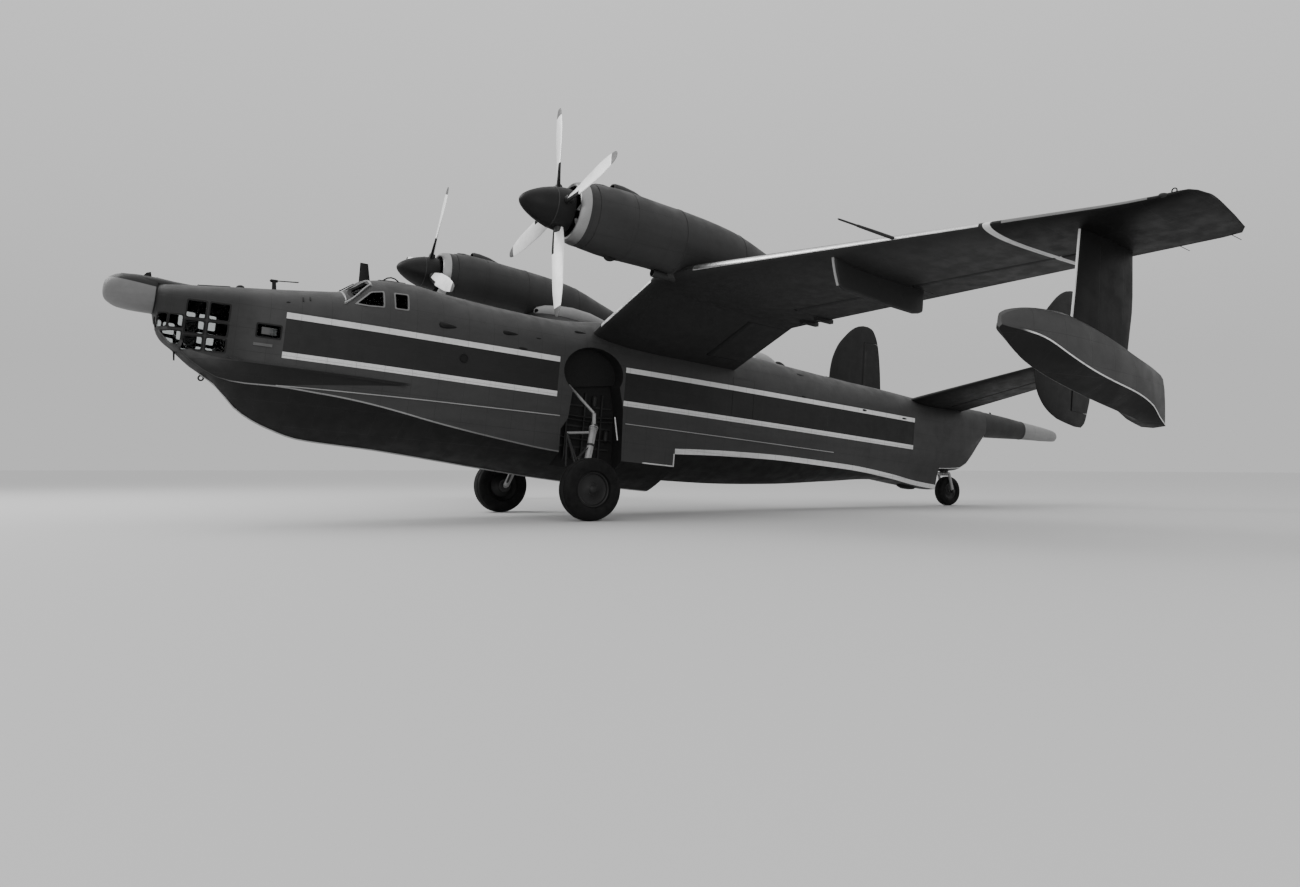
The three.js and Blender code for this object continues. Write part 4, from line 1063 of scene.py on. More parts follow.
# Nose and tail ends
RADOME_W = 0.030
RADOME = [(0.012, 0), (0.016, 0.07), (0.030, 0.145), (0.06, 0.21), (0.14, 0.280), (0.30, 0.350),
          (0.62, 0.382), (0.984, 0.384)]
radome = lathe("radome_dome", spun(RADOME, 34) + [(0.984, 0.0)], 56, (M_RADOME,))
place(moved(radome, (0, 0, RADOME_W)), stands_for=("radome",), slot="radome")

# columns: s, top, bottom
BOOM = [(26.1203, 0.665, -0.215), (27.2, 0.625, -0.140), (28.22, 0.560, -0.065), (29.7, 0.460, 0.020),
        (30.05, 0.405, 0.055), (30.15, 0.330, 0.130)]


def boom_ring(s, grow=1.0):
    table = np.array(BOOM)
    top, bottom = pchip(table[:, 0], table[:, 1:], [s])[0]
    r = (top - bottom) / 2 * grow
    return [(r * 0.78 * c, s, (top + bottom) / 2 + r * d) for c, d in turns(40)]


def boom_part(name, s0, s1, mats):
    ss = np.unique(np.concatenate([np.linspace(s0, s1, 22), [row[0] for row in BOOM if s0 < row[0] < s1]]))
    return lofted(name, boom_ring, [(s,) for s in ss], mats)


place(boom_part("boom_skin", 26.1, 28.22, (M_BOOM,)), stands_for=("tail_boom",), slot="hull_paint")
place(boom_part("boom_tip", 28.225, 30.15, (M_BOOM_TIP,)), stands_for=("tail_boom_tip",), slot="pale_paint")


# Window panes, pressed against the frames from inside
def panes(name, openings, room, grow_by):
    liner = cavity(name, *room, 0.056)
    cut(liner, cavity("core", *room, 0.064))
    within(liner, merged("tools", cutters(openings, grow_by, False, (M_GLASS,))))
    liner.data.materials.clear()
    liner.data.materials.append(M_GLASS)
    return liner


NOSE_LINER, CABIN_LINER = (1.05, 3.38, -1.25), (4.62, 6.63, -0.5)
place(panes("nose_panes", NOSE_WINDOWS, NOSE_LINER, 0.02), stands_for=("nose_glazing",), slot="glass",
      weighted=False)
cabin_glass = [panes("side_panes", SIDE_WINDOWS, CABIN_LINER, 0.02),
               panes("screen_panes", SCREEN_WINDOWS, CABIN_LINER, 0.012)]
place(merged("canopy_panes", cabin_glass), stands_for=("canopy_glazing",), slot="glass", weighted=False)


# Small parts of the hull's skin
def align(obj, spot):
    """Moves a piece built about the origin, z outward and y aft, onto a surface spot."""
    p, normal = spot
    y = (AFT - normal * AFT.dot(normal)).normalized()
    x = y.cross(normal)
    obj.data.transform(Matrix(((x.x, y.x, normal.x, p.x), (x.y, y.y, normal.y, p.y),
                               (x.z, y.z, normal.z, p.z), (0, 0, 0, 1))))
    return obj


def window_rims(name, openings, width, lift, s0, s1, w0, mat):
    """Raised rims around windows, cut from a thin shell that follows the hull."""
    shell = hull_loft(name, HULL, -lift, mats=(mat,) * 3, step=RIM_STEP)
    within(shell, box("room", (-3, s0, w0), (3, s1, 9)))
    cut(shell, hull_loft("core", HULL, 0.022, step=RIM_STEP))
    within(shell, merged("outer", cutters(openings, width)))
    return cut(shell, merged("inner", cutters(openings)))


rims = [window_rims("grid_rims", GRID_WINDOWS, 0.026, 0.010, 1.3, 3.6, -1.3, M_DARK),
        window_rims("corner_rims", CORNER_WINDOWS, 0.018, 0.008, 0.95, 1.7, -1.3, M_DARK)]
place(merged("nose_window_rims", rims), slot="dark_trim", weighted=False)
place(window_rims("cabin_window_rims", SIDE_WINDOWS, 0.030, 0.010, 4.7, 6.3, 0.2, M_FAINT), slot="pale_paint",
      weighted=False)

# Windscreen posts: the middle post, those beside it and the wide corner posts, between brow and sill
SCREEN = (4.66, 5.20)
CORNER_POST = [(4.60, 1.035), (4.90, 0.90), (5.20, 0.72)]
corner = follow(CORNER_POST, 12, on_top)
far_corner = [(Vector((-p.x, p.y, p.z)), Vector((-n.x, n.y, n.z))) for p, n in corner]
posts = [ribbon("post", top_line(*SCREEN, 0.0, 12), 0.06, 0.014, mats=(M_TRIM,))]
for x, spots in ((0.43, corner), (-0.43, far_corner)):
    posts.append(ribbon("post", top_line(*SCREEN, x, 12), 0.045, 0.012, mats=(M_TRIM,)))
    posts.append(ribbon("post", spots, 0.085, 0.014, mats=(M_TRIM,)))
posts.append(ribbon("brow", cross_line(-0.74, 0.74, 5.205, 21), 0.05, 0.014, mats=(M_TRIM,)))
posts.append(ribbon("sill", cross_line(-0.98, 0.98, 4.635, 25), 0.045, 0.012, mats=(M_TRIM,)))
place(merged("windscreen_posts", posts), slot="pale_paint", weighted=False)
wipers = []
for side in (1, -1):
    (foot, up), (tip, out) = on_top(4.66, side * 0.24), on_top(4.97, side * 0.16)
    wipers.append(tube("wiper", [foot + up * 0.03, tip + out * 0.03], 0.009, 8, (M_DARK,)))
    wipers.append(tube("wiper", [foot - up * 0.03, foot + up * 0.045], 0.014, 10, (M_DARK,)))
place(merged("windscreen_wipers", wipers), slot="dark_trim")

# Rub strakes, spray rails and the white edge of the step, as lines in (s, w)
RUB_LINES = (((3.42, -1.58), (6.60, -1.515), (9.92, -1.465)), ((11.76, -1.455), (18.96, -1.45)))
RAIL_LINE = [(2.38, -1.13), (2.70, -1.175), (3.30, -1.182), (4.20, -1.205), (5.20, -1.225), (6.10, -1.262)]
RAIL_SPOTS = 44
strakes = [ribbon("rub", follow(line, 40, on_side), 0.026, 0.018, mats=(M_TRIM,)) for line in RUB_LINES]
place_pair(strakes, "rub_strake", slot="pale_paint", weighted=False)
taper = [0.02 + 0.045 * math.sin(math.pi * k / (RAIL_SPOTS - 1)) ** 0.4 for k in range(RAIL_SPOTS)]
place_pair(ribbon("spray_rail", follow(RAIL_LINE, RAIL_SPOTS, on_side), taper, 0.034, mats=(M_HULL,)),
           "spray_rail", slot="pale_paint", weighted=False)
place_pair(ribbon("step_edge", side_line(-2.385, -2.06, 13.292, 10), 0.035, 0.010, mats=(M_WHITE,)),
           "step_edge", slot="pale_paint", weighted=False)

# Scoops, drains and slots along the side: s, w, length, width, height
SCOOPS = ((6.92, 0.245, 0.45, 0.15, 0.060), (8.48, 0.330, 0.42, 0.12, 0.050),
          (10.41, 0.690, 0.36, 0.09, 0.040))
DRAINS = ((9.22, 0.325, 0.17, 0.045), (8.82, 0.005, 0.28, 0.075), (17.68, 0.665, 0.34, 0.110),
          (17.62, 0.000, 0.20, 0.060), (20.12, -0.075, 0.24, 0.070), (21.93, -0.105, 0.27, 0.060),
          (3.44, 0.200, 0.11, 0.060))
VENTS = ((3.742, 0.262, 0.362), (3.888, 0.310, 0.402))
fittings = [blister("scoop", on_side(s, w), AFT, length, wide, high, (M_DARK,), 0.1)
            for s, w, length, wide, high in SCOOPS]
fittings += [blister("drain", on_side(s, w), AFT, length, wide, 0.022, (M_DARK,), 0.4)
             for s, w, length, wide in DRAINS]
fittings += [ribbon("slot", side_line(lo, hi, s, 4), 0.035, 0.012, mats=(M_DARK,)) for s, lo, hi in VENTS]
place_pair(fittings, "side_scoops", slot="dark_trim")
foothold = [on_side(s, -0.792) for s in np.linspace(2.84, 3.21, 8)]
place_pair(ribbon("foothold", foothold, 0.066, 0.020, mats=(M_STEP_AND_PANE_HIGHLIGHT,)), "nose_step", slot="pale_paint",
           weighted=False)


def porthole(spot, radius):
    ring = [(-0.02, 0.78), (0.016, 0.80), (0.020, 0.92), (0.010, 1), (-0.02, 1), (-0.02, 0.78)]
    pane = [(-0.02, 0), (-0.02, 0.85), (0.004, 0.85), (0.008, 0)]
    parts = [lathe("porthole", [(out, radius * share) for out, share in rows], 32, (M_DARK,), axis=(0, 0, 1))
             for rows in (ring, pane)]
    return align(merged("porthole", parts), spot)


place_pair(porthole(on_side(7.365, -0.445), 0.105), "porthole", slot="dark_trim")


def frame_line(corners, count, spot):
    """Surface spots around a four-cornered frame, count to an edge with both its ends."""
    spots = []
    for a, b in zip(corners, corners[1:] + corners[:1]):
        spots += follow((a, b), count, spot)[:-1]
    return spots


# The outline of a door on each side of the aft hull, in (s, w); deck hatches: from s, to s, half width
DOOR = [(15.05, -1.12), (15.05, 0.20), (15.78, 0.20), (15.78, -1.12)]
HATCHES = ((1.75, 2.35, 0.30), (5.52, 6.10, 0.28), (7.60, 8.30, 0.32), (13.70, 14.40, 0.30),
           (19.20, 19.80, 0.26))
place_pair(ribbon("door_rim", frame_line(DOOR, 9, on_side), 0.022, 0.006, mats=(M_HULL,), closed=True),
           "door_rim", slot="hull_paint", weighted=False)

# Deck fittings: aerial mast with two thin probes, dome, blister, arch aerial
MAST_HEAD = 0.785
DOME = [(-0.02, 0.092), (0.02, 0.092), (0.050, 0.080), (0.074, 0.046), (0.082, 0.0)]
ARCH = [(5.62, 1.19), (5.67, 1.27), (5.75, 1.335), (5.84, 1.362), (5.93, 1.350), (6.01, 1.305), (6.07, 1.22)]
mast_foot = skin_w(3.288, 0.0)
mast_line = [(0, 3.300, mast_foot - 0.03), (0, 3.292, mast_foot + 0.03), (0, 3.270, MAST_HEAD)]
mast = [tube("mast", mast_line, 0, 16, (M_DARK,), radii=[0.070, 0.050, 0.042]),
        tube("head", [(0, 3.185, 0.775), (0, 3.20, MAST_HEAD), (0, 3.345, 0.795)], 0, 14, (M_DARK,),
             radii=[0.020, 0.036, 0.032])]
mast += [tube("probe", [(x, 3.33, 0.800), (x * 1.6, 3.79, 0.852)], 0.007, 8, (M_STEEL,))
         for x in (-0.02, 0.03)]
place(merged("nose_mast", mast), slot="dark_trim")
place(align(lathe("dome", DOME, 24, (M_DARK,), axis=(0, 0, 1)), on_top(2.60, 0.0)), slot="dark_trim")


def hatch(name, s0, s1, half):
    corners = [(s0, -half), (s1, -half), (s1, half), (s0, half)]
    parts = [ribbon("rim", frame_line(corners, 8, on_top), 0.03, 0.014, mats=(M_HULL,), closed=True)]
    for x in (-half * 0.5, half * 0.5):
        ends = [on_top(s0, x + shift)[0] + Vector((0, 0, 0.01)) for shift in (-0.05, 0.05)]
        parts.append(tube("hinge", ends, 0.014, 10, (M_DARK,)))
    return merged(name, parts)


for k, (s0, s1, half) in enumerate(HATCHES):
    place(hatch(f"deck_hatch_{k}", s0, s1, half), slot="hull_paint", weighted=False)
covers = [blister("cover", on_top(16.92, 0.0), AFT, 1.00, 0.46, 0.25, (M_TRIM,), 0.15, 22, 14),
          blister("tail", on_top(17.52, 0.0), AFT, 0.46, 0.28, 0.13, (M_DARK,), 0.3, 16, 10)]
place(merged("deck_blister", covers), slot="pale_paint")
place(tube("arch_aerial", [(0, s, w) for s, w in ARCH], 0.017, 12, (M_DARK,)), slot="dark_trim")

# Bow: fairing behind the radome (s, top, half width), its small blade, the towing eye and the probe
FAIRING = ((0.30, 0.392, 0.16), (0.62, 0.418, 0.24), (0.99, 0.412, 0.30), (1.30, 0.386, 0.34),
           (1.62, 0.378, 0.33), (1.95, 0.395, 0.26))
BOW_BLADE = [(0.690, 0.39), (0.765, 0.488), (0.842, 0.516), (0.875, 0.39)]
FAIRING_DEPTH = 0.13
EYE_S, EYE_W, EYE_RADIUS = 2.052, -1.552, 0.05


def fairing_ring(s, top, half):
    return [(half * c, s, top + FAIRING_DEPTH * (max(d, -0.4) - 1)) for c, d in turns(28)]


place(lofted("bow_fairing", fairing_ring, FAIRING, (M_HULL,)), slot="hull_paint")
place(prism("bow_blade", BOW_BLADE, 0, -0.012, 0.012, (M_DARK,)), slot="dark_trim", weighted=False)
eye = tube("eye", [(0, EYE_S + EYE_RADIUS * c, EYE_W + EYE_RADIUS * d) for c, d in turns(20)], 0.018, 10,
           (M_DARK,), closed=True)
probe = tube("probe", [(0.05, 1.462, -1.05), (0.05, 1.468, -1.10), (0.05, 1.489, -1.262)], 0, 10,
             (M_DARK,), radii=[0.024, 0.020, 0.016])
place(merged("bow_eye", [eye, probe]), slot="dark_trim")
joint = lathe("radome_joint", [(0.955, 0.380), (0.955, 0.391), (0.984, 0.391), (0.984, 0.380)], 56, (M_DARK,))
place(moved(joint, (0, 0, RADOME_W)), slot="dark_trim", weighted=False)

# Keel strip, the fairing ahead of the tail wheel (s, share of full size), peg and collar of the boom
keel = [(Vector((0, s, hull_row(s)[-1])), Vector((0, 0, -1))) for s in np.linspace(2.0, 13.25, 60)]
place(ribbon("keel_strip", keel, 0.05, 0.016, mats=(M_METAL,)), slot="bare_metal", weighted=False)
TAIL_BUMP = ((22.50, 0.05), (22.56, 0.6), (22.72, 0.95), (23.00, 1.0), (23.20, 0.85), (23.31, 0.35))


def bump_ring(s, share):
    return [(c * 0.16 * share, s, -2.085 - 0.135 * share * max(d, -0.2)) for c, d in turns(20)]


place(lofted("tail_bump", bump_ring, TAIL_BUMP, (M_DARK,)), slot="dark_trim")
place(tube("boom_peg", [(0, 26.74, 0.60), (0, 26.70, 0.655), (0, 26.68, 0.70)], 0, 12, (M_DARK,),
           radii=[0.045, 0.032, 0.018]), slot="dark_trim")
place(lofted("boom_collar", boom_ring, [(s, 1.02) for s in (28.19, 28.20, 28.24, 28.25)], (M_STEEL,)),
      slot="bare_metal", weighted=False)

# Wings
# columns: x, leading edge s and w, trailing edge s and w, thickness
WING = [
    (0.600, 10.790, 0.605, 15.110, 0.225, 0.640),
    (1.200, 10.800, 0.850, 15.090, 0.435, 0.640),
    (3.550, 10.920, 1.790, 15.020, 1.265, 0.600),
    (4.164, 10.950, 1.775, 15.010, 1.280, 0.590),
    (4.950, 11.000, 1.750, 15.000, 1.290, 0.570),
    (9.400, 12.090, 1.725, 15.000, 1.370, 0.380),
    (13.700, 13.134, 1.703, 15.000, 1.445, 0.213),
    (14.300, 13.205, 1.702, 15.005, 1.457, 0.190),
    (14.620, 13.200, 1.702, 14.965, 1.466, 0.160),
    (14.760, 13.215, 1.700, 14.780, 1.488, 0.130),
    (14.850, 13.290, 1.692, 14.330, 1.550, 0.080),
    (14.920, 13.500, 1.672, 13.880, 1.615, 0.040),
]
TAILPLANE = [
    (-0.060, 22.440, 0.468, 24.925, 0.440, 0.300),
    (0.700, 22.540, 0.625, 24.890, 0.560, 0.290),
    (4.390, 23.230, 1.395, 24.780, 1.225, 0.180),
]
# columns: w, leading edge s, trailing edge s
FIN = [(-0.110, 25.120, 25.440), (0.030, 24.330, 25.600), (0.430, 23.640, 25.740), (0.800, 23.390, 25.830),
       (1.250, 23.290, 25.850), (1.850, 23.280, 25.800), (2.310, 23.330, 25.750), (2.990, 23.590, 25.640),
       (3.400, 23.930, 25.530), (3.700, 24.260, 25.380), (3.860, 24.560, 25.220), (3.910, 24.780, 25.030)]
FIN_X, FIN_THICKNESS, RUDDER_S = 4.39, 0.085, 24.89
FLOAT_X, STORE_X = 12.85, 8.4
FOIL_POINTS = 22
OUT, UP = Vector((-1, 0, 0)), Vector((0, 0, 1))


def streamline(c):
    t = 5 * (0.2969 * math.sqrt(c) - 0.126 * c - 0.3516 * c ** 2 + 0.2843 * c ** 3 - 0.1036 * c ** 4)
    return max(t, 0.012)


def camber(thickness, share):
    return 0.12 * thickness * math.sin(math.pi * share)


def foil_ring(front, rear, thickness, across):
    chord = rear - front
    up = chord.cross(across).normalized()
    upper, lower = [], []
    for i in range(FOIL_POINTS + 1):
        c = (1 - math.cos(math.pi * i / FOIL_POINTS)) / 2
        half = 0 if i == 0 else thickness * streamline(c)
        p = front + chord * c
        upper.append(p + up * (camber(thickness, c) + half))
        if i:
            lower.append(p + up * (camber(thickness, c) - half))
    return upper + lower[::-1]


def wing_ring(x, ls, lw, ts, tw, thickness):
    return foil_ring(Vector((x, ls, lw)), Vector((x, ts, tw)), thickness, OUT)


def fin_ring(w, le, te):
    return foil_ring(Vector((FIN_X, le, w)), Vector((FIN_X, te, w)), (te - le) * FIN_THICKNESS, UP)


def table_at(rows, value):
    table = np.array(rows)
    return [float(np.interp(value, table[:, 0], column)) for column in table[:, 1:].T]


def wing_at(rows, x, share):
    ls, lw, ts, tw, t = table_at(rows, x)
    w = lw + (tw - lw) * share + camber(t, share)
    return Vector((x, ls + (ts - ls) * share, w)), t * streamline(share)


def fin_point(w):
    le, te = table_at(FIN, w)
    return Vector((FIN_X, RUDDER_S, w)), (te - le) * FIN_THICKNESS * streamline((RUDDER_S - le) / (te - le))


# Hinges of the moving surfaces: a point and the half thickness there at each end
MOVING_GAP = 0.009
HINGES = {
    "inner_flap": (wing_at(WING, 1.560, 0.74), wing_at(WING, 3.330, 0.74)),
    "outer_flap": (wing_at(WING, 5.050, 0.74), wing_at(WING, STORE_X - 0.110, 0.74)),
    "aileron": (wing_at(WING, STORE_X + 0.110, 0.73), wing_at(WING, FLOAT_X - 0.150, 0.73)),
    "elevator": (wing_at(TAILPLANE, 0.760, 0.64), wing_at(TAILPLANE, 4.080, 0.64)),
    "rudder": (fin_point(0.330), fin_point(3.300)),
}
BEHIND, BESIDE = 3.0, 0.9


def hinge_region(hinge, front, lengthen):
    """Everything behind a hinge line, from front ahead of its round nose, or from the line itself."""
    (a, _), (b, _) = hinge
    along = (b - a).normalized()
    aft = (AFT - along * along.y).normalized()
    up = along.cross(aft).normalized()
    rings = []
    for (end, half), sign in zip(hinge, (-1, 1)):
        base = end + along * sign * lengthen
        reach = 0 if front is None else half + front
        rings.append([base + aft * y + up * z for y, z in rect(-reach, BEHIND, -BESIDE, BESIDE)])
    return loft("region", rings)


def control_surface(name, whole, mat):
    surface = within(copy_of(whole, name), hinge_region(HINGES[name], None, 0.0))
    (a, ra), (b, rb) = HINGES[name]
    nose = tube("nose", [a, b], 0, 28, (mat,), radii=[ra * 0.97, rb * 0.97])
    return combine(surface, nose, "UNION")


wing = lofted("wing", wing_ring, dense(WING, 0.6, smooth=False), (M_WING,))
tail_half = lofted("tail_half", wing_ring, dense(TAILPLANE, 0.7, smooth=False), (M_TAIL,))
fin = lofted("fin", fin_ring, dense(FIN, 0.12), (M_TAIL,))
MOVING = (("inner_flap", wing, M_WING), ("outer_flap", wing, M_WING), ("aileron", wing, M_WING),
          ("elevator", tail_half, M_TAIL), ("rudder", fin, M_TAIL))
surfaces = {key: control_surface(key, whole, mat) for key, whole, mat in MOVING}
for key, whole, _ in MOVING:
    cut(whole, hinge_region(HINGES[key], MOVING_GAP, MOVING_GAP))
for key, surface in surfaces.items():
    place_pair(surface, key, key, True, (key,), slot="wing_paint")
place_pair(wing, "wing", stands_for=("wing_inner", "wing_outer"), slot="wing_paint")
place_pair(fin, "fin", stands_for=("fin",), slot="wing_paint")
combine(tail_half, mirrored(tail_half, "tail_twin"), "UNION")
tail_half.name = "tailplane_skin"
place(tail_half, stands_for=("tailplane",), slot="wing_paint")

# Nacelles, engines and propellers
# columns: s, top, bottom, half width
NACELLE = [(8.620, 3.290, 1.890, 0.690), (9.300, 3.330, 1.815, 0.745), (10.400, 3.260, 1.785, 0.745),
           (11.300, 3.200, 1.700, 0.720), (12.400, 3.060, 1.650, 0.640), (13.600, 2.680, 1.600, 0.500),
           (14.700, 2.300, 1.500, 0.330)]
THRUST = Matrix.Translation((NACELLE_X, HUB_S, HUB_W)) @ Matrix.Rotation(THRUST_TILT, 4, "X")


def nacelle_at(s):
    table = np.array(NACELLE)
    return [float(v) for v in pchip(table[:, 0], table[:, 1:], [s])[0]]


def nacelle_ring(s, top, bottom, half):
    middle, tall = (top + bottom) / 2, (top - bottom) / 2
    return [(NACELLE_X + half * d, s, middle + tall * c) for c, d in turns(48)]


def on_thrust(obj):
    obj.data.transform(THRUST)
    return obj


nacelle = lofted("nacelle", nacelle_ring, dense(NACELLE, 0.25), (M_NACELLE,))
bore = on_thrust(lathe("bore", [(-0.2, 0), (-0.2, 0.56), (3.0, 0.56), (3.0, 0)], 48, (M_ENGINE,)))
front_trim = on_thrust(lathe("trim", [(-0.2, 0), (-0.2, 1.4), (0.66, 1.4), (0.66, 0)], 24))
cut(nacelle, bore, front_trim)

# Scoop and ridge on top of the nacelle: s, foot, top, half width
SCOOP = ((9.27, 3.26, 3.445, 0.150), (9.32, 3.26, 3.460, 0.165), (9.50, 3.24, 3.455, 0.170),
         (9.80, 3.22, 3.405, 0.150), (10.12, 3.18, 3.300, 0.100))
THROAT = ((9.20, 3.34, 3.425, 0.125), (9.44, 3.34, 3.425, 0.120))
RIDGE = ((8.78, 3.20, 3.30, 0.06), (8.84, 3.20, 3.355, 0.11), (9.02, 3.20, 3.375, 0.13),
         (9.20, 3.20, 3.362, 0.10), (9.27, 3.20, 3.30, 0.05))


def hood_ring(s, low, high, half):
    """An arched section for a scoop or a bulge on top of the nacelle."""
    arc = [(NACELLE_X + half * math.cos(a), s, low + (high - low) * math.sin(a) ** 0.7)
           for a in np.linspace(0, math.pi, 15)]
    return arc + [(NACELLE_X - half, s, low - 0.1), (NACELLE_X + half, s, low - 0.1)]


scoop = lofted("scoop", hood_ring, SCOOP, (M_NACELLE,))
cut(scoop, lofted("throat", hood_ring, THROAT, (M_BAY,)))
ridge = lofted("ridge", hood_ring, RIDGE, (M_NACELLE,))
pipe = tube("pipe", [(NACELLE_X, 14.0, 2.18), (NACELLE_X, 15.0, 2.06)], 0.19, 40, (M_STEEL,))
cut(pipe, tube("mouth", [(NACELLE_X, 14.4, 2.132), (NACELLE_X, 15.1, 2.048)], 0.165, 40, (M_STEEL,)))
place_pair([nacelle, scoop, ridge, pipe], "nacelle_skin", stands_for=("nacelle",),
           slot="wing_paint")

# Straps (s, width, height), latches (s, turn about the nacelle), drain and oil pipe
STRAPS = ((9.62, 0.035, 0.005), (10.90, 0.060, 0.010), (12.60, 0.030, 0.006))
LATCH_ROWS, LATCH_TURNS = (8.95, 9.30, 9.95, 10.30, 10.62), (1.15, 2.05, -1.15, -2.05)
KNUCKLE = ((10.82, 0.3), (10.88, 0.75), (11.02, 1.0), (11.30, 1.0), (11.65, 0.8), (11.95, 0.4))


def nacelle_strap(s, width, lift):
    """A thin band around the nacelle."""
    rings = []
    for share, inward, out in ((-0.5, 0, -0.01), (-0.5, 0.003, lift), (0.5, -0.003, lift), (0.5, 0, -0.01)):
        at = s + width * share + inward
        top, bottom, half = nacelle_at(at)
        rings.append(nacelle_ring(at, top + out, bottom - out, half + out))
    return loft("strap", rings, (M_NACELLE,), cap=False)


def latch(s, turn):
    top, bottom, half = nacelle_at(s)
    across, up = math.sin(turn), math.cos(turn)
    p = Vector((NACELLE_X + half * across, s, (top + bottom) / 2 + (top - bottom) / 2 * up))
    return blister("latch", (p, Vector((across, 0, up))), AFT, 0.10, 0.03, 0.012, (M_STEEL,), 0.4, 8, 5)


def knuckle_ring(s, share):
    return [(4.12 + 0.17 * share * c, s, 1.745 + 0.14 * share * d) for c, d in turns(24)]


place_pair([nacelle_strap(*row) for row in STRAPS], "nacelle_straps",
           slot="wing_paint", weighted=False)
latches = [latch(s, turn) for s in LATCH_ROWS for turn in LATCH_TURNS]
place_pair(latches, "cowl_latches", slot="bare_metal")
drain = blister("drain", (Vector((NACELLE_X, 9.37, 1.822)), -UP), AFT, 0.34, 0.13, 0.110, (M_DARK,))
place_pair(drain, "nacelle_drain", slot="dark_trim")
stub = tube("stub", [(4.10, 10.50, 1.715), (4.10, 11.15, 1.70)], 0.100, 24, (M_STEEL,))
cut(stub, tube("bore", [(4.10, 10.38, 1.718), (4.10, 10.80, 1.708)], 0.080, 24, (M_BAY,)))
place_pair([stub, lofted("knuckle", knuckle_ring, KNUCKLE, (M_NACELLE,))], "oil_pipe",
           slot="wing_paint")

# The exhaust shroud on the nacelle's inboard side; its pale paint is a painted highlight where the wing's top
# catches the light: s, height, share of full size
SHROUD = ((11.10, 1.96, 0.42), (11.16, 1.975, 0.62), (11.40, 2.01, 0.86), (11.80, 2.04, 1.0),
          (12.30, 2.06, 1.0), (12.90, 2.03, 0.85), (13.35, 1.98, 0.55), (13.60, 1.94, 0.25))


def shroud_ring(s, w, share):
    return [(3.47 - 0.18 * share * c, s, w - 0.03 + 0.23 * share * d) for c, d in turns(28)]


shroud = lofted("shroud", shroud_ring, SHROUD, (M_TRIM,))
cut(shroud, tube("bore", [(3.40, 10.9, 1.93), (3.44, 11.45, 2.0)], 0.062, 24, (M_BAY,)))
place_pair(shroud, "exhaust_shroud", slot="bare_metal")

# Turned parts on the thrust line: distance along it, radius
COWL_LIP = [(0.655, 0.56), (0.29, 0.54), (0.245, 0.556), (0.230, 0.585), (0.236, 0.610), (0.262, 0.634),
            (0.32, 0.658), (0.45, 0.685), (0.655, 0.693), (0.655, 0.56)]
CORE = [(0.52, 0), (0.52, 0.25), (0.60, 0.27), (0.88, 0.30), (0.91, 0.43), (3.46, 0.43), (3.46, 0)]
SHAFT = [(0.1904, 0), (0.1904, 0.09), (0.56, 0.09), (0.56, 0)]
SPINNER = [(-0.917, 0), (-0.905, 0.04), (-0.88, 0.085), (-0.82, 0.150), (-0.65, 0.262), (-0.42, 0.366),
           (-0.15, 0.441), (0.10, 0.470), (0.19, 0.470)]
SEAM = [(-0.205, 0.425), (-0.205, 0.437), (-0.185, 0.441), (-0.185, 0.425), (-0.205, 0.425)]
VANES, BLADE_COUNT = 16, 4

cowl = lathe("cowl_lip", COWL_LIP, 64, (M_METAL, M_NACELLE), [0] * 7 + [1] * 2)
place_pair(on_thrust(cowl), "cowl_lip", stands_for=("cowl_ring",), slot="bare_metal")
engine = [lathe("core", CORE, 48, (M_ENGINE,)), lathe("shaft", SHAFT, 24, (M_STEEL,))]
for k in range(VANES):
    vane = box("vane", (-0.008, 0.72, 0.40), (0.008, 0.95, 0.555), (M_BAY,))
    vane.data.transform(Matrix.Rotation(2 * math.pi * k / VANES, 4, "Y"))
    engine.append(vane)
place_pair(on_thrust(merged("engine", engine)), "engine", stands_for=("engine_block",), slot="engine")

# columns: radius, chord, thickness, twist in degrees
BLADES = [(0.300, 0.180, 0.120, 38), (0.650, 0.290, 0.088, 27), (1.100, 0.380, 0.062, 16),
          (1.700, 0.385, 0.040, 9), (2.250, 0.270, 0.024, 4), (2.400, 0.205, 0.016, 2.8),
          (2.455, 0.140, 0.012, 2.2), (2.474, 0.085, 0.010, 2)]
BOOT_END, BOOT_SHARE = 1.02, 0.30


def blade_ring(radius, chord, thick, twist):
    a = math.radians(twist)
    across = Vector((math.cos(a), -math.sin(a), 0))
    normal = Vector((math.sin(a), math.cos(a), 0))
    centre = UP * radius
    return [centre + across * (chord / 2 * c) + normal * (thick / 2 * d) for c, d in turns(24)]


def blade():
    """One blade along z, with a dark boot over the leading edge of its inner part."""
    obj = lofted("blade", blade_ring, dense(BLADES, 0.08), (M_BLADE, M_RUBBER))
    for face in obj.data.polygons:
        x, y, z = face.center
        chord, _, twist = table_at(BLADES, z)
        a = math.radians(twist)
        if z < BOOT_END and x * math.cos(a) - y * math.sin(a) > BOOT_SHARE * chord:
            face.material_index = 1
    return obj


def propeller(side, turn, shift):
    parts = [lathe("spinner", spun(SPINNER, 40) + [(0.19, 0)], 56, (M_DARK,)),
             lathe("seam", SEAM, 56, (M_STEEL,))]
    for k in range(BLADE_COUNT):
        cuff = tube("cuff", [(0, 0, 0.36), (0, 0, 0.50), (0, 0, 0.56)], 0, 20, (M_STEEL,),
                    radii=[0.098, 0.092, 0.075])
        for obj in (blade(), cuff):
            obj.data.transform(Matrix.Rotation(math.pi / 2 * k + math.radians(turn), 4, "Y"))
            parts.append(obj)
    obj = moved(on_thrust(merged(f"propeller_blades_{side}", parts)), (shift, 0, 0))
    place(obj, f"propeller_{side}", stands_for=(f"propeller_{side}",), slot="blade_metal")


propeller("port", -13, 0)
propeller("starboard", 19, -2 * NACELLE_X)

